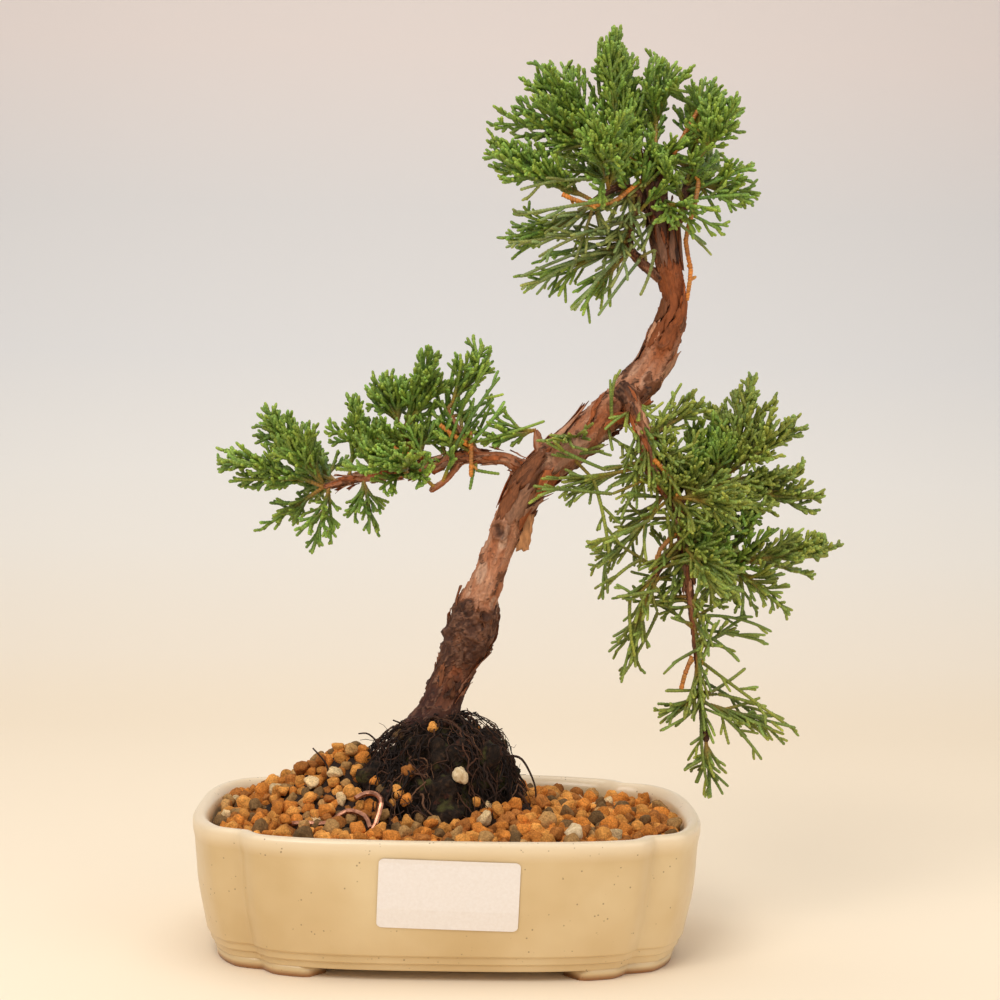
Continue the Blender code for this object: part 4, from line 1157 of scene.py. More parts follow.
def clothe(stems, tree, habit, rng):
    """Stems with all their side shoots."""
    shoots = []
    for stem, first in stems:
        level = unit(np.cross(stem[1], UP + 0.01))
        plane = turned(level, stem[1], math.pi / 2 + rng.gauss(0.0, 0.7))
        shoots.append(stem)
        shoots += grow_barbs(stem, tree, habit, rng, plane, first, max(stem[6], 0.55), 0)
    return shoots


# %% One plume
FURTHEST_ARM = 0.62
SHORTEST_ARM = 6.0


def grow_plume(name, habit_name, rng):
    """All shoots of one plume."""
    habit = HABITS[habit_name]
    tree = node_tree(name)
    hull = node_points(name)
    foot = np.array(min((wood_finder.find(Vector(p)) for p in hull), key=lambda found: found[2])[0])
    middle = hull.mean(axis=0)
    far = hull[np.argmax(np.linalg.norm(hull - foot, axis=1))]
    run = far - foot
    square = np.linalg.norm(run) ** 2
    leader = shoot_to(foot, run, far, habit, rng, 0.0)
    stems = [(leader, habit["first"])]
    ahead = [p for p in hull if (p - foot).dot(run) / square > 0.36]
    for _ in range(habit["arms"]):
        target = ahead[rng.randrange(len(ahead))]
        target = middle + (target - middle) * rng.uniform(0.80, 1.12)
        along = (target - foot).dot(run) / square
        share = min(FURTHEST_ARM, along * rng.uniform(0.05, FURTHEST_ARM))
        place, heading = at_share(leader, share)
        arm = shoot_to(place, heading, target, habit, rng, 0.35 + 0.4 * share)
        if arm[2] > SHORTEST_ARM:
            stems.append((arm, habit["first"]))
    return clothe(stems, tree, habit, rng)


# %% [markdown]
# ## Waxy green
# Scale leaves are waxy and let a little light through. Their greens are painted on the points by
# age, so the material only adds slow clouds of light and dark, a soft sheen, and a trace of
# scattering below the surface. Plain green plastic is what it looks like without the clouds.

# %% Shoot material
def make_shoot_green():
    """Waxy scale leaves: painted green with a soft sheen and a little light let through."""
    green, shader = new_material("juniper_green", 0.48, Specular_IOR_Level=0.4,
                                 Subsurface_Weight=0.05, Subsurface_Scale=0.0012)
    shader.inputs["Subsurface Radius"].default_value = (0.5, 1.0, 0.2)
    cloud = noise_of(green, 75.0, 3.0)
    feed(green, shader, "Base Color", shaded_tint(green, cloud, (0.3, 0.80), (0.7, 1.18)))
    bump_of(green, shader, noise_of(green, 2600.0, 3.0), 0.25, 0.0003)
    return green


shoot_green = make_shoot_green()
print("shoot green is made of", len(shoot_green.node_tree.nodes), "nodes")


# %% Grow every plume
OPEN_PLUMES = ("top_spray_08", "top_spray_09", "top_spray_15", "left_spray_03", "left_spray_04",
               "left_spray_05", "left_spray_09", "left_spray_10", "right_spray_05",
               "right_spray_06", "right_spray_11", "right_spray_12")
CORD_PLUMES = ("top_spray_10", "top_spray_11", "right_spray_07", "right_spray_08",
               "right_spray_09", "right_spray_10", "tail_spray_01", "tail_spray_02",
               "tail_spray_03")
SHOOT_COUNTS = []


def add_shoots(name, shoots, palette, *stands_for):
    """One piece of shoots in one of the greens."""
    SHOOT_COUNTS.append(len(shoots))
    made = shoots_mesh(name, shoots, GREENS[palette])
    return add_piece(made, shoot_green, "juniper_green", *stands_for)


spray_names = sorted(name for name in NODES if "_spray_" in name)
for number, name in enumerate(spray_names):
    habit_name = "cord" if name in CORD_PLUMES else "open" if name in OPEN_PLUMES else "dense"
    palette = "fresh" if name.startswith(("top", "left")) else "olive"
    shoots = grow_plume(name, habit_name, random.Random(100 + number))
    add_shoots("shoots_" + name.replace("_spray", ""), shoots, palette, name)
print("plumes:", len(spray_names), "shoots:", sum(SHOOT_COUNTS))

# %% [markdown]
# ## Between the plumes
# Plumes alone would leave a crown of separate tufts. The real one is knitted together by shoots
# that start anywhere on the wood, so loose masses of them fill the room between the plumes.
# More solids could do that too, but a centre, a reach and a count say all that is needed.

# %% Fill the masses
NEAR_WOOD, FAR_WOOD = 7.0, 22.0
# the room between plumes: palette, centre, reach along x, y and z, number of stems, habit
FILLS = (
    ("olive", (71.0, -12.0, 182.0), (23.0, 8.0, 24.0), 34, "cord"),
    ("olive", (82.0, -12.0, 192.0), (15.0, 5.0, 16.0), 16, "open"),
    ("fresh", (97.0, 0.0, 196.0), (13.0, 8.0, 15.0), 18, "dense"),
    ("olive", (78.0, -10.0, 188.0), (14.0, 9.0, 16.0), 12, "open"),
    ("olive", (108.0, 0.0, 176.0), (32.0, 12.0, 27.0), 30, "dense"),
    ("fresh", (106.0, -8.0, 158.0), (24.0, 7.0, 18.0), 22, "open"),
    ("olive", (98.0, -2.0, 139.0), (26.0, 10.0, 15.0), 22, "open"),
    ("olive", (78.0, -12.0, 140.0), (15.0, 6.0, 16.0), 14, "cord"),
    ("olive", (92.0, -13.0, 168.0), (18.0, 4.0, 22.0), 24, "cord"),
    ("olive", (97.0, -8.0, 122.0), (7.0, 4.0, 16.0), 10, "cord"),
    ("olive", (97.0, -6.0, 98.0), (6.0, 3.0, 16.0), 8, "cord"),
    ("fresh", (-22.0, 0.0, 194.0), (33.0, 13.0, 14.0), 26, "dense"),
    ("fresh", (2.0, 2.0, 204.0), (13.0, 9.0, 12.0), 8, "open"),
    ("fresh", (66.0, -10.0, 306.0), (20.0, 8.0, 14.0), 14, "dense"),
    ("fresh", (87.0, -3.0, 300.0), (15.0, 10.0, 18.0), 16, "open"),
    ("shaded", (50.0, -8.0, 274.0), (22.0, 12.0, 14.0), 26, "cord"),
    ("fresh", (52.0, 0.0, 312.0), (26.0, 16.0, 16.0), 18, "dense"),
    ("fresh", (66.0, 4.0, 332.0), (10.0, 8.0, 10.0), 9, "dense"),
    ("shaded", (60.0, -12.0, 284.0), (14.0, 4.0, 9.0), 12, "cord"),
)


def fill_mass(centre, radii, count, habit_name, rng):
    """Shoots that fill a mass between its plumes, each from wood not far away."""
    habit = HABITS[habit_name]
    shoots = []
    for _ in range(count):
        way = unit(random_way(rng))
        target = np.array(centre) + np.array(radii) * way * rng.uniform(0.35, 1.0)
        away = np.linalg.norm(WOOD_POINTS[:, :3] - target, axis=1)
        furthest = max(FAR_WOOD, away.min() + NEAR_WOOD)
        near = np.flatnonzero((away > NEAR_WOOD) & (away < furthest))
        foot = WOOD_POINTS[near[rng.randrange(len(near))], :3]
        stem = shoot_to(foot, target - foot, target, habit, rng, 0.2)
        shoots += clothe([(stem, 0.25)], None, habit, rng)
    return shoots


for number, (palette, centre, radii, count, habit_name) in enumerate(FILLS):
    shoots = fill_mass(centre, radii, count, habit_name, random.Random(900 + number))
    add_shoots(f"shoots_fill_{number + 1:02d}", shoots, palette)
print("fills:", len(FILLS), "shoots so far:", sum(SHOOT_COUNTS))

# %% [markdown]
# ## Long shoots
# Some shoots run far out of the masses and give the tree its wild outline: bare cords on the
# left of the crown and along the tail, tufted ones on the right. Chance would seldom put them
# where they belong, so each is laid one by one between two given places. Where its start is
# clear of the wood, a browner stalk ties it in.

# %% Lay the long shoots
LONGEST_WITHOUT_STALK = 1.5
STALK_AGE = 0.9
# long single shoots that stand out of the masses: start, end, habit
LONG_SHOOTS = {
    "olive": (
        ((57.7, -14.0, 185.5), (34.5, -14.0, 195.7), "cord"),
        ((60.1, -16.0, 176.4), (29.8, -16.0, 178.8), "cord"),
        ((53.1, -15.0, 181.6), (60.0, -15.0, 150.3), "open"),
        ((60.7, -14.0, 158.7), (57.8, -14.0, 135.5), "cord"),
        ((79.1, -18.0, 140.1), (62.4, -18.0, 137.1), "open"),
        ((68.2, -14.0, 135.7), (70.6, -14.0, 113.8), "bare"),
        ((79.5, -10.0, 130.9), (65.4, -10.0, 104.3), "bare"),
        ((96.4, -6.0, 129.3), (124.8, -6.0, 123.6), "cord"),
        ((96.9, -4.0, 123.6), (122.5, -4.0, 119.4), "cord"),
        ((98.6, -6.0, 122.3), (112.5, -6.0, 111.6), "cord"),
        ((73.3, -6.0, 197.3), (87.1, -6.0, 219.7), "bare"),
        ((67.0, -10.0, 201.0), (79.8, -10.0, 212.1), "bare"),
        ((59.8, -12.0, 204.7), (60.9, -12.0, 222.3), "cord"),
        ((74.6, -18.0, 166.8), (51.9, -18.0, 156.8), "open"),
        ((71.6, -14.0, 151.2), (58.1, -14.0, 139.4), "cord"),
    ),
    "tail": (
        ((95.9, -3.0, 119.6), (111.4, -3.0, 115.2), "bare"),
        ((96.9, -3.0, 111.8), (133.4, -3.0, 86.0), "cord"),
        ((97.9, 0.0, 103.5), (132.2, 0.0, 78.4), "cord"),
        ((98.2, -5.0, 96.4), (122.4, -5.0, 73.2), "cord"),
        ((102.0, -5.0, 99.6), (115.1, -5.0, 109.2), "bare"),
        ((104.7, -3.0, 98.5), (123.4, -3.0, 93.7), "bare"),
        ((99.1, -3.0, 89.8), (103.7, -3.0, 78.8), "bare"),
        ((96.8, -3.0, 100.0), (83.9, -3.0, 99.3), "cord"),
        ((97.2, -4.0, 94.2), (88.0, -4.0, 85.4), "cord"),
        ((100.7, -3.0, 73.3), (92.1, -3.0, 68.0), "bare"),
        ((100.7, -3.0, 71.7), (106.7, -3.0, 67.4), "bare"),
        ((99.6, -3.0, 82.3), (94.2, -3.0, 78.3), "bare"),
        ((95.7, -5.0, 115.9), (86.1, -5.0, 110.2), "cord"),
        ((95.3, -5.0, 122.0), (97.6, -6.0, 98.0), "cord"),
        ((97.0, -5.0, 112.0), (99.6, -5.0, 84.0), "cord"),
        ((98.5, -4.0, 92.0), (101.6, -4.0, 62.0), "cord"),
    ),
    "fresh": (
        ((5.5, -6.0, 194.7), (18.7, -6.0, 211.2), "cord"),
        ((7.8, -5.0, 195.1), (34.4, -5.0, 203.8), "bare"),
        ((-0.3, -8.0, 192.6), (16.5, -8.0, 220.3), "cord"),
        ((-4.2, -3.0, 195.6), (10.2, -3.0, 232.7), "open"),
        ((-2.2, -6.0, 193.7), (13.0, -6.0, 226.1), "cord"),
        ((-0.2, 0.0, 193.3), (14.6, 0.0, 212.4), "cord"),
        ((8.1, -4.0, 184.2), (17.4, -4.0, 182.9), "bare"),
        ((7.3, -4.0, 185.0), (5.9, -4.0, 176.4), "bare"),
        ((-6.1, 2.0, 195.6), (-0.9, 2.0, 226.1), "open"),
        ((37.7, -4.0, 316.1), (13.2, -4.0, 323.1), "open"),
        ((37.8, -6.0, 308.1), (7.8, -6.0, 304.3), "open"),
        ((43.4, -2.0, 324.3), (27.1, -2.0, 343.0), "open"),
        ((53.2, 0.0, 330.7), (53.0, 0.0, 353.0), "open"),
        ((68.7, -2.0, 325.0), (74.3, -2.0, 346.3), "open"),
        ((88.9, -2.0, 294.7), (113.9, -2.0, 305.0), "open"),
        ((88.7, -4.0, 290.5), (112.0, -4.0, 293.1), "open"),
        ((84.9, -4.0, 286.6), (100.7, -4.0, 279.3), "open"),
        ((91.7, -4.0, 325.5), (78.7, -4.0, 333.3), "open"),
        ((91.7, -4.0, 325.5), (85.0, -7.0, 334.0), "open"),
        ((91.7, -4.0, 325.5), (91.5, -5.0, 334.5), "open"),
        ((91.7, -4.0, 325.5), (98.0, -2.0, 333.0), "open"),
        ((91.7, -4.0, 325.5), (104.8, -4.0, 330.2), "open"),
    ),
    "shaded": (
        ((53.6, -10.0, 277.4), (18.4, -10.0, 271.5), "cord"),
        ((57.3, -12.0, 273.4), (23.2, -12.0, 258.5), "bare"),
        ((53.9, -8.0, 270.0), (25.8, -8.0, 253.6), "cord"),
        ((61.3, -12.0, 267.8), (44.2, -12.0, 246.0), "cord"),
        ((69.2, -10.0, 266.3), (53.6, -10.0, 244.5), "bare"),
        ((74.7, -12.0, 270.1), (69.4, -12.0, 252.4), "bare"),
        ((82.8, -6.0, 282.4), (93.9, -6.0, 272.7), "cord"),
        ((52.8, -14.0, 295.9), (22.4, -14.0, 291.3), "cord"),
        ((56.6, -16.0, 288.1), (20.6, -16.0, 281.5), "cord"),
        ((62.0, -14.0, 280.0), (30.0, -14.0, 266.0), "cord"),
        ((60.0, -10.0, 276.0), (33.0, -12.0, 275.0), "cord"),
        ((66.0, -10.0, 272.0), (58.0, -12.0, 255.0), "cord"),
    ),
}


def lay_shoot(start, end, habit_name, rng):
    """One long shoot between two places, tied to the nearest wood by a browner stalk."""
    habit = HABITS["cord" if habit_name == "bare" else habit_name]
    start, end = np.array(start), np.array(end)
    foot = np.array(wood_finder.find(Vector(start))[0])
    shoots = []
    heading = end - start
    if np.linalg.norm(start - foot) > LONGEST_WITHOUT_STALK:
        stalk = shoot_to(foot, start - foot, start, habit, rng, 0.3)
        shoots.append((*stalk[:7], STALK_AGE, *stalk[8:]))
        heading = 0.6 * unit(start - foot) + unit(heading)
    stem = shoot_to(start, heading + 0.25 * UP, end, habit, rng, 0.85)
    if habit_name == "bare":
        return [*shoots, stem]
    return shoots + clothe([(stem, 0.22)], None, habit, rng)


for number, (group, rows) in enumerate(LONG_SHOOTS.items()):
    rng = random.Random(700 + number)
    shoots = [shoot for row in rows for shoot in lay_shoot(*row, rng)]
    add_shoots("shoots_long_" + group, shoots, "olive" if group == "tail" else group)
print("long shoots:", sum(len(rows) for rows in LONG_SHOOTS.values()))
print("shoots in all:", sum(SHOOT_COUNTS))

# %% [markdown]
# ## Dry twigs
# Shoots that have died back keep their scales and turn orange-brown. They are chains of the same
# scaled tubes in dry colours, laid along short routes in and below the green masses. A bark tube
# would do for the thick ones, but the scales are what tells a dead shoot from a branch.

# %% Dry twigs
DRY = {"old": (0.30, 0.11, 0.035), "full": (0.50, 0.20, 0.035), "new": (0.62, 0.34, 0.07)}
DRY_ROUTES = (
    ((38.6, -14.0, 290.1), (46.0, -15.0, 287.0), (53.0, -14.0, 286.4), (60.0, -12.0, 289.0),
     (66.6, -9.0, 294.9), (72.0, -4.0, 299.0)),
    ((55.6, -12.0, 312.1), (62.0, -9.0, 306.0), (68.9, -5.0, 303.3), (73.0, -2.0, 297.0)),
    ((88.6, -3.0, 251.8), (89.6, -5.0, 264.0), (87.2, -6.0, 274.4), (90.8, -5.0, 289.9),
     (92.0, -4.0, 298.0)),
    ((-6.2, -6.0, 201.4), (1.6, -5.0, 195.7), (7.0, -2.0, 192.5)),
    ((-30.0, -5.0, 196.0), (-22.0, -5.0, 191.0), (-14.0, -2.0, 188.5)),
    ((77.8, -12.0, 145.4), (79.5, -12.0, 155.1), (86.5, -9.0, 162.1)),
    ((89.5, -9.0, 101.0), (90.8, -9.0, 106.9), (93.5, -7.0, 113.0)),
    ((76.0, -14.0, 190.0), (84.0, -12.0, 181.0), (88.0, -8.0, 170.0)),
    ((82.0, -3.0, 308.0), (88.0, -4.0, 319.4), (91.7, -4.0, 326.0)),
)


STRAIGHT = np.zeros(3)
STUB_CHANCE = 0.45


def dry_twig(route, rng, radius):
    """Scaled tubes end to end along a route, with a few stubs."""
    line = smooth_line([(*place, 1.0) for place in route], 4.0)[:, :3]
    shoots = []
    for a, b in zip(line, line[1:]):
        step = np.linalg.norm(b - a)
        heading = (b - a) / step
        shoots.append((a, heading, step * 1.12, STRAIGHT, radius, radius * 0.96,
                       rng.uniform(0.2, 1.1), rng.uniform(0.6, 1.3), rng.random()))
        if rng.random() < STUB_CHANCE:
            way = unit(heading + random_way(rng, 0.6))
            shoots.append((b, way, rng.uniform(2.0, 4.0), STRAIGHT, radius * 0.8, radius * 0.6,
                           STALK_AGE, TIP_AGE, rng.random()))
    return shoots


dry_rng = random.Random(61)
hanging = node_points("dead_twig")
hanging_route = (hanging[np.argmax(hanging[:, 2])], hanging.mean(0),
                 hanging[np.argmin(hanging[:, 2])])
dry_shoots = [shoot for route in DRY_ROUTES for shoot in dry_twig(route, dry_rng, 0.95)]
add_piece(shoots_mesh("dry_twigs", dry_shoots, DRY), shoot_green, "dead_wood")
hanging_shoots = dry_twig(hanging_route, dry_rng, 0.9)
add_piece(shoots_mesh("hanging_dry_twig", hanging_shoots, DRY), shoot_green, "dead_wood", "dead_twig")
print("dry twigs:", len(DRY_ROUTES) + 1)

# %% [markdown]
# ## Clay grains
# The fill is baked clay, sieved to a few millimetres: rounded crumbs with flat broken sides, in
# rust and ochre, with a few dark and a few pale ones. Scattering instances would be lighter but
# leaves no mesh, so a set of crumb shapes is made once and written many times into one mesh,
# each turned, scaled and tinted. They are dropped on the solid of the fill in three layers, and
# small crumbs of peat lie where the fill shows dark between the mound and the front of the rim.

# %% Crumb shapes
CRUMB_SHAPES = 18
FLAT_SIDES = 13


def crumb_shape(seed):
    """A lumpy ball of radius 1 with a few flattened sides."""
    ball = bmesh.new()
    bmesh.ops.create_icosphere(ball, subdivisions=3, radius=1.0)
    points = np.array([v.co for v in ball.verts])
    faces = np.array([[v.index for v in f.verts] for f in ball.faces])
    ball.free()
    rng = np.random.default_rng(seed)
    for _ in range(FLAT_SIDES):
        normal = rng.normal(size=3)
        normal /= np.linalg.norm(normal)
        depth = rng.uniform(0.60, 0.90)
        over = np.maximum(points @ normal - depth, 0)
        points = points - normal * (over * 0.93)[:, None]
    points = points * (1 + 0.15 * layered_noise(points * 1.7 + seed, seed, 3))[:, None]
    return points, faces


CRUMBS = [crumb_shape(seed) for seed in range(CRUMB_SHAPES)]
print("points in one crumb:", len(CRUMBS[0][0]))

# %% Tones of clay and peat
# colour, and its share of the grains
GRAIN_TONES = (((0.60, 0.210, 0.036), 0.34), ((0.70, 0.300, 0.065), 0.24),
               ((0.40, 0.145, 0.032), 0.20), ((0.19, 0.105, 0.040), 0.11),
               ((0.48, 0.260, 0.090), 0.08), ((0.76, 0.54, 0.28), 0.03))
PEAT_TONES = (((0.012, 0.007, 0.004), 0.6), ((0.035, 0.017, 0.009), 0.3),
              ((0.08, 0.035, 0.015), 0.1))


def grains_mesh(name, places, sizes, rng, shares=GRAIN_TONES):
    """One mesh of turned, scaled and tinted crumbs."""
    points, polygons, tints = [], [], []
    tones = np.array([tone for tone, _ in shares])
    chances = np.array([chance for _, chance in shares])
    start = 0
    for place, size in zip(places, sizes):
        shape, faces = CRUMBS[rng.integers(len(CRUMBS))]
        q, _ = np.linalg.qr(rng.normal(size=(3, 3)))
        if np.linalg.det(q) < 0:
            q[0] = -q[0]
        squash = rng.uniform(0.70, 1.18, size=3)
        points.append((shape * squash * size) @ q + place)
        polygons.append(faces + start)
        start += len(shape)
        tone = tones[rng.choice(len(tones), p=chances / chances.sum())] * rng.uniform(0.75, 1.25)
        dust = lattice_noise(shape * 2.3 + start, 4)
        tints.append(tone[None, :] * (1 + 0.22 * dust)[:, None])
    return new_mesh(name, np.concatenate(points), polygons, np.concatenate(tints))


def make_clay():
    """Dull and gritty, in the colour painted on each grain."""
    clay, shader = new_material("fired_clay", 0.92, Specular_IOR_Level=0.2)
    grit = noise_of(clay, 1500.0, 5.0)
    feed(clay, shader, "Base Color", shaded_tint(clay, grit, (0.30, 0.60), (0.72, 1.30)))
    bump_of(clay, shader, grit, 0.7, 0.0006)
    return clay


clay = make_clay()
print("clay tones:", len(GRAIN_TONES), "peat tones:", len(PEAT_TONES))

# %% [markdown]
# ## Scattering
# Grains lie close but never share a place. Plain random places pile up here and leave holes
# there, so a place is kept only when no kept one is nearer than the spacing. On the mound the
# chance of a grain falls with its height, and more of them have spilled on its left and back.

# %% Random places inside the pot
WALL_CLEARANCE = 9.6
TRIES = 60000


def scattered(spacing, rng):
    """Random places in the pot's plan, no two nearer than the spacing."""
    corner = np.array([RIM_HALF_WIDTH, RIM_HALF_DEPTH])
    tries = rng.uniform(-corner, corner, size=(TRIES, 2))
    radius = np.linalg.norm(tries, axis=1)
    limit = plan_radius(np.arctan2(tries[:, 1], tries[:, 0]), WALL_CLEARANCE)
    tries = tries[radius < limit]
    cells, kept = {}, []
    for x, y in tries:
        cx, cy = int(x // spacing), int(y // spacing)
        near = (cells.get((cx + i, cy + j)) for i in (-1, 0, 1) for j in (-1, 0, 1))
        if all(p is None or (p[0] - x) ** 2 + (p[1] - y) ** 2 >= spacing ** 2 for p in near):
            cells[(cx, cy)] = (x, y)
            kept.append((x, y))
    return kept


# %% What lies under a place
soil_tree = node_tree("soil_bed")
root_tree = node_tree("root_ball")
PLUMB_HEIGHT = 120.0
LOWEST_GROUND = 30.0
FILL_TOP = 52.0
DOWN = Vector((0, 0, -1))


def dropped(tree, x, y):
    """Where a plumb line from above meets a solid, or None."""
    return tree.ray_cast(Vector((x, y, PLUMB_HEIGHT)), DOWN)[0]


def dark_patch(x, y):
    """Less than 1 where the dark fill shows between mound and rim."""
    return ((x + 33.0) / 15.0) ** 2 + ((y + 36.0) / 6.5) ** 2


def ground_at(x, y):
    """Height of fill or mound at a place, and the chance that a grain lies there."""
    soil, mound = dropped(soil_tree, x, y), dropped(root_tree, x, y)
    level = soil.z if soil is not None and soil.z > LOWEST_GROUND else 0.0
    if mound is None or mound.z <= level:
        return level, 1.0
    rise = mound.z - max(level, FILL_TOP)
    spilled_side = x < -16.0 or y > 8.0
    chance = 1.1 - rise / 14.0 if spilled_side else 0.55 - rise / 8.0
    return mound.z, max(chance, 0.05)


print("fill at the rim's middle front (mm):", round(dropped(soil_tree, 0.0, -50.0).z, 1))

# %% Scatter the grains and the peat
# spacing, smallest and largest radius, lift over the fill's solid
GRAIN_LAYERS = ((4.1, (2.2, 3.0), -0.8), (4.6, (2.5, 3.6), 1.0), (8.2, (2.6, 3.9), 3.2))
PEAT_SPACING = 1.9
PEAT_RADII = (0.8, 1.7)
PEAT_LIFT = 0.3
GRAINS_PER_MESH = 560
grain_rng = np.random.default_rng(21)
grain_places, grain_sizes, peat_places = [], [], []
for x, y in scattered(PEAT_SPACING, grain_rng):
    soil = dropped(soil_tree, x, y)
    if dark_patch(x, y) < 1.5 and soil is not None:
        peat_places.append((x, y, soil.z + PEAT_LIFT))
for spacing, radii, lift in GRAIN_LAYERS:
    for x, y in scattered(spacing, grain_rng):
        level, chance = ground_at(x, y)
        chance = min(chance, 0.12 + 0.88 * dark_patch(x, y) ** 2)
        if level < LOWEST_GROUND or grain_rng.random() > chance:
            continue
        grain_places.append((x, y, level + lift))
        grain_sizes.append(grain_rng.uniform(*radii))
for number, start in enumerate(range(0, len(grain_places), GRAINS_PER_MESH)):
    part = slice(start, start + GRAINS_PER_MESH)
    grains = grains_mesh(f"clay_grains_{number + 1}", grain_places[part], grain_sizes[part],
                         grain_rng)
    add_piece(grains, clay, "fired_clay_grains")
peat_sizes = grain_rng.uniform(*PEAT_RADII, len(peat_places))
crumbs = grains_mesh("peat_crumbs", peat_places, peat_sizes, grain_rng, PEAT_TONES)
add_piece(crumbs, clay, "dark_roots")
print("grains:", len(grain_places), "peat crumbs:", len(peat_places))


# %% [markdown]
# ## Under the grains
# The solid of the fill only shows in gaps between the grains, damp and in deep shade. It keeps
# its mesh, and a dark coarse finish paints both the damp and that shade into its colour.

# %% Damp soil
def make_damp_and_shaded_soil():
    """Fill darkened by damp and by painted shade, as it only shows between the grains."""
    soil, shader = new_material("damp_soil", 0.95)
    # painted shade: nearly black, the shade of the gaps between grains, over the darkening of damp
    feed(soil, shader, "Base Color", ramp_of(soil, noise_of(soil, 500.0, 6.0), (
        (0.3, (0.008, 0.004, 0.002)), (0.7, (0.040, 0.017, 0.007)))))
    bump_of(soil, shader, noise_of(soil, 700.0, 6.0), 0.8, 0.001)
    return soil


dress("soil_bed", make_damp_and_shaded_soil())
print("soil is dressed")

# %% [markdown]
# ## Root mound
# What was the nursery pot's root ball: peat, moss and hair-fine roots, almost black. A sculpted
# lump would do, but its solid already has the right outline, so a copy of it is remeshed finely
# and pushed about by two noises, one for lumps and one for crumbs.

# %% The mound's surface
MOUND_DETAIL = 1.1


def make_mound():
    """A fine, rough copy of the root ball's solid."""
    mound = bpy.data.objects.new("root_mound", NODES["root_ball"].data.copy())
    mound.data.materials.clear()
    bpy.context.scene.collection.objects.link(mound)
    remesh = mound.modifiers.new("fine", "REMESH")
    remesh.mode = "VOXEL"
    remesh.voxel_size = MOUND_DETAIL * MM
    graph = bpy.context.evaluated_depsgraph_get()
    mesh = bpy.data.meshes.new_from_object(mound.evaluated_get(graph))
    mound.modifiers.clear()
    mound.data = mesh
    count = len(mesh.vertices)
    place = np.empty(count * 3, np.float32)
    normal = np.empty(count * 3, np.float32)
    mesh.vertices.foreach_get("co", place)
    mesh.vertices.foreach_get("normal", normal)
    place = place.reshape(-1, 3).astype(float)
    normal = normal.reshape(-1, 3)
    points = (place - POT_CENTRE) / MM
    crumbly = layered_noise(points / 5.0, 41, 4) * 3.6
    lumpy = layered_noise(points / 15.0, 43, 2) * 6.0
    rough = crumbly + lumpy - 2.2
    shown = soft_step(points[:, 2], 44.0, 50.0)
    mesh.vertices.foreach_set("co", (place + normal * (rough * shown * MM)[:, None])
                              .astype(np.float32).ravel())
    mesh.shade_smooth()
    mesh.update()
    return mound


# %% [markdown]
# ## Peat
# Old peat is never even: rusty fibre shows in it and dull moss grows on it. Both are masks cut
# from a coarse noise and laid over dark crumbs, which is simpler than painting them.

# %% Peat, moss and rusty fibre
PEAT_BROWNS = ((0.30, (0.006, 0.004, 0.003)), (0.55, (0.022, 0.012, 0.007)),
               (0.75, (0.070, 0.036, 0.018)))
MOSS_GREEN = (0.075, 0.070, 0.018)
RUSTY_FIBRE = (0.085, 0.026, 0.014)


def patches_of(made, scale, detail, low, high):
    """Soft-edged patches of a second colour, as a mask that ends at 0.7."""
    return ramp_of(made, noise_of(made, scale, detail), ((low, grey(0.0)), (high, grey(0.7))))


def make_peat():
    """Nearly black crumbs with patches of rusty fibre and of dull moss."""
    peat, shader = new_material("peat_and_moss", 0.95, Specular_IOR_Level=0.25)
    crumb = noise_of(peat, 420.0, 8.0)
    earth = ramp_of(peat, crumb, PEAT_BROWNS)
    moss = patches_of(peat, 130.0, 6.0, 0.54, 0.64)
    rusty = patches_of(peat, 150.0, 5.0, 0.60, 0.68)
    earth = mix_of(peat, earth, RUSTY_FIBRE, rusty)
    feed(peat, shader, "Base Color", mix_of(peat, earth, MOSS_GREEN, moss))
    bump_of(peat, shader, crumb, 1.0, 0.0018)
    return peat


peat = make_peat()
mound = add_piece(make_mound(), peat, "dark_roots", "root_ball")
print("mound has", len(mound.data.polygons), "faces")

# %% [markdown]
# ## Fine roots
# More than a thousand hair-fine roots cover the mound. Hair curves would not last as a mesh, so
# each root is a thin tube of its own. It walks over the solid in short steps, held near it by a
# nearest-point search, and a few end in the air. Four stouter ones stand up out of the fill.

# %% Routes and tones of the roots
# places tried for a root; those in the corners of the mound's box miss the mound
ROOT_TRIES = 1300
ROOT_STEP = 1.3
ROOT_SIDES = 5
LOOSE_CHANCE = 0.10
LOOSE_POINTS = 5
MOUND_HEART = np.array([-2.0, 2.0, 55.0])
# radius or colour, and its share of the roots
ROOT_RADII, RADIUS_SHARES = (0.18, 0.25, 0.36, 0.55), (0.42, 0.32, 0.2, 0.06)
ROOT_TONES = ((0.012, 0.006, 0.004), (0.030, 0.013, 0.007), (0.075, 0.030, 0.014),
              (0.14, 0.065, 0.032))
TONE_SHARES = (0.4, 0.34, 0.18, 0.08)
# roots that stand up out of the fill on their own
STANDING_ROOTS = (
    ((-45.0, -10.0, 55.0), (-46.5, -10.0, 61.6), (-47.0, -10.0, 69.0), (-52.6, -10.0, 75.8)),
    ((-20.0, -12.0, 68.0), (-26.0, -13.0, 77.0), (-31.0, -13.0, 82.0), (-35.0, -12.0, 82.0)),
    ((-12.0, -8.0, 76.0), (-16.0, -9.0, 84.0), (-22.0, -9.0, 87.0)),
    ((22.0, -10.0, 74.0), (28.0, -11.0, 73.0), (33.0, -12.0, 64.0), (34.0, -12.0, 56.0)),
)
print("places tried for a root:", ROOT_TRIES, "standing roots:", len(STANDING_ROOTS))


# %% A root that walks, and the tube round it
DROOP = Vector((0, 0, -0.25))
WANDER = 0.35


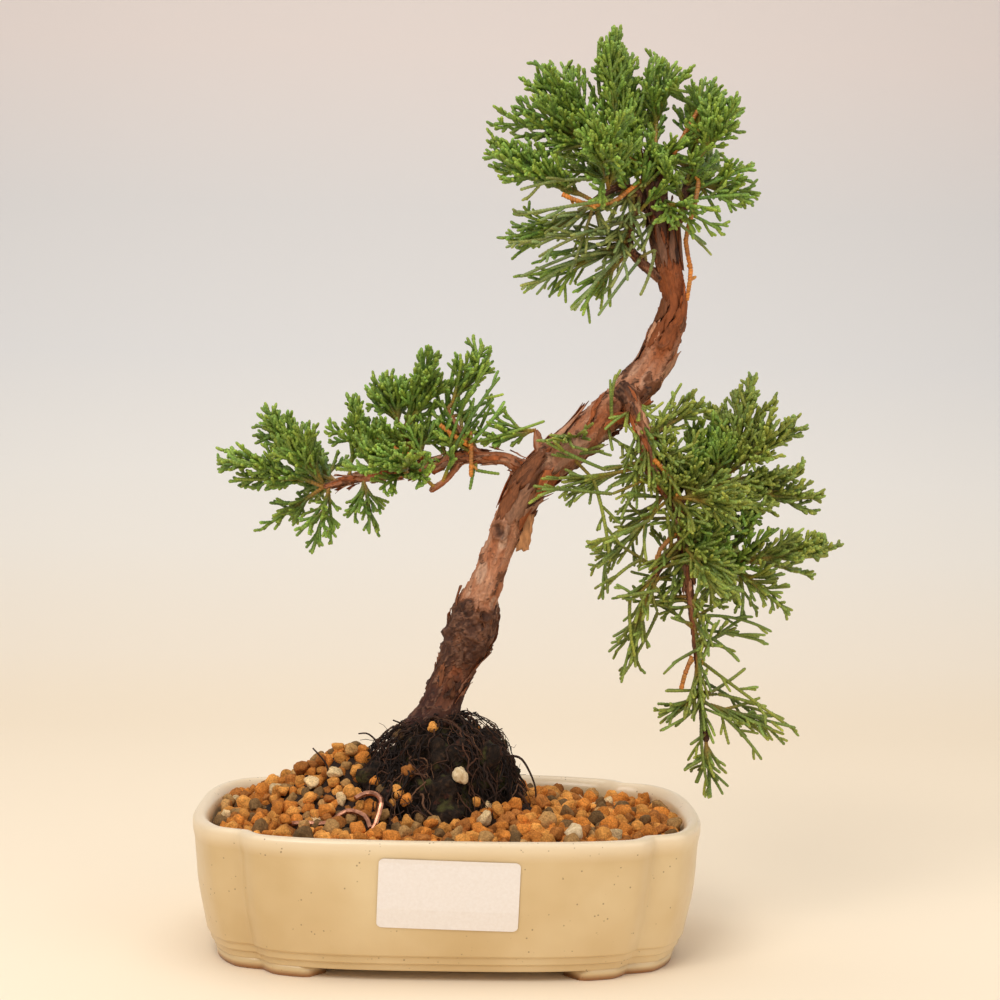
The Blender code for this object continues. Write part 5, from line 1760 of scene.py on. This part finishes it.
def walk_root(tree, rng, place, steps, hug):
    """Points of a root that wanders over the mound."""
    place = Vector(place)
    heading = Vector(rng.normal(size=3)).normalized()
    points = []
    for _ in range(steps):
        found, normal, _, _ = tree.find_nearest(place)
        heading = heading + Vector(rng.normal(size=3)) * WANDER + DROOP
        heading = (heading - normal * heading.dot(normal)).normalized()
        points.append(np.array(found + normal * hug))
        place = found + heading * ROOT_STEP
    return points


def tube_points(line, radii):
    """Rings round a short line, as one block of points."""
    line = np.array(line)
    along = np.gradient(line, axis=0)
    along /= np.linalg.norm(along, axis=1)[:, None] + 1e-9
    aside = np.cross(along, [0.37, 0.21, 0.9])
    aside /= np.linalg.norm(aside, axis=1)[:, None] + 1e-9
    other = np.cross(along, aside)
    turn = np.linspace(0, math.tau, ROOT_SIDES, endpoint=False)
    ring = (aside[:, None] * np.cos(turn)[None, :, None]
            + other[:, None] * np.sin(turn)[None, :, None])
    return (line[:, None] + ring * np.array(radii)[:, None, None]).reshape(-1, 3)


# %% All the roots as one mesh
def root_over_mound(rng, number, foot):
    """Line, radii and tone of one root that starts at a place on the mound."""
    steps = int(rng.integers(7, 24))
    hug = rng.uniform(-0.8, 2.5)
    line = np.array(walk_root(root_tree, rng, foot, steps, hug))
    line += lattice_noise(line / 3.2, number)[:, None] * rng.normal(size=3) * 1.1
    if rng.random() < LOOSE_CHANCE:
        away = unit(line[-1] - MOUND_HEART)
        lifted = np.linspace(0.0, 1.0, LOOSE_POINTS)[:, None] ** 1.5
        line[-LOOSE_POINTS:] += lifted * away * rng.uniform(2.0, 6.0)
    radii = rng.choice(ROOT_RADII, p=RADIUS_SHARES) * np.linspace(1.0, 0.45, len(line))
    return line, radii, ROOT_TONES[rng.choice(len(ROOT_TONES), p=TONE_SHARES)]


def make_roots():
    """Every root over the mound, and the few that stand up out of the fill."""
    rng = np.random.default_rng(77)
    hull = node_points("root_ball")
    low, high = hull.min(0), hull.max(0)
    roots = []
    for number in range(ROOT_TRIES):
        foot = dropped(root_tree, *rng.uniform(low[:2], high[:2]))
        if foot is not None:
            roots.append(root_over_mound(rng, number, foot))
    for route in STANDING_ROOTS:
        line = smooth_line([(*place, 0.5) for place in route], 1.0)[:, :3]
        roots.append((line, np.linspace(0.55, 0.3, len(line)), ROOT_TONES[1]))
    points, polygons, tints = [], [], []
    start = 0
    for line, radii, tone in roots:
        points.append(tube_points(line, radii))
        polygons += [rows + start for rows in closed_rings(len(line), ROOT_SIDES)]
        start += len(points[-1])
        tints.append(np.repeat(np.array([tone]), len(points[-1]), axis=0))
    return new_mesh("fine_roots", np.concatenate(points), polygons, np.concatenate(tints))


def make_root_skin():
    """Dark skin, a little shinier than the peat, lighter and darker along each root."""
    skin, shader = new_material("root_skin", 0.8, Specular_IOR_Level=0.3)
    shade = noise_of(skin, 900.0, 4.0)
    feed(skin, shader, "Base Color", shaded_tint(skin, shade, (0.3, 0.6), (0.7, 1.4)))
    return skin


fine_roots = add_piece(make_roots(), make_root_skin(), "dark_roots")
print("fine roots have", len(fine_roots.data.polygons), "faces")

# %% [markdown]
# ## Small hard things
# Copper tie wire, the drainage mesh and its clips keep their solids. Each needs only an honest
# surface: dulled copper with brown blotches, moulded plastic, dull aluminium. The two pale
# stones are drawn out from the same crumb shapes as the grains.

# %% Finishes for the small things
def make_mottled(name, dark, light, scale, roughness, metallic=0.0):
    """A surface that wavers between two tones, with a fine bump of the same grain."""
    made, shader = new_material(name, roughness, Metallic=metallic)
    grit = noise_of(made, scale, 5.0)
    feed(made, shader, "Base Color", ramp_of(made, grit, ((0.3, dark), (0.7, light))))
    bump_of(made, shader, grit, 0.4, 0.0005)
    return made


def make_copper():
    """Copper dulled by weather, with a finer bump than its blotches."""
    copper, shader = new_material("dull_copper", 0.38, Metallic=1.0)
    feed(copper, shader, "Base Color", ramp_of(copper, noise_of(copper, 350.0, 5.0), (
        (0.3, (0.30, 0.12, 0.07)), (0.7, (0.66, 0.32, 0.20)))))
    bump_of(copper, shader, noise_of(copper, 900.0, 3.0), 0.15, 0.0003)
    return copper


dress("tie_wire", make_copper())
pale_stone = make_mottled("chalky_stone", (0.52, 0.36, 0.18), (0.86, 0.68, 0.43), 700.0, 0.85)
plastic = make_mottled("mesh_plastic", grey(0.012), grey(0.03), 300.0, 0.55)
clip_metal = make_mottled("clip_aluminium", grey(0.55), grey(0.72), 500.0, 0.4, 1.0)
print("finishes:", [made.name for made in (pale_stone, plastic, clip_metal)])


# %% Stones, mesh and clips
STONE_CRUMBS = {"left": 3, "right": 7}


def make_stone(name, node, crumb):
    """A crumb drawn out to the size of the stone's solid."""
    low, high = node_points(node).min(0), node_points(node).max(0)
    shape, faces = CRUMBS[crumb]
    reach = np.abs(shape).max(axis=0)
    return new_mesh(name, (low + high) / 2 + shape / reach * (high - low) / 2, [faces])


for side, crumb in STONE_CRUMBS.items():
    stone = make_stone(f"stone_{side}", f"pale_stone_{side}", crumb)
    add_piece(stone, pale_stone, "pale_stone", f"pale_stone_{side}")
    dress(f"drain_mesh_{side}", plastic)
    dress(f"mesh_clip_{side}", clip_metal)
print("small things are dressed")
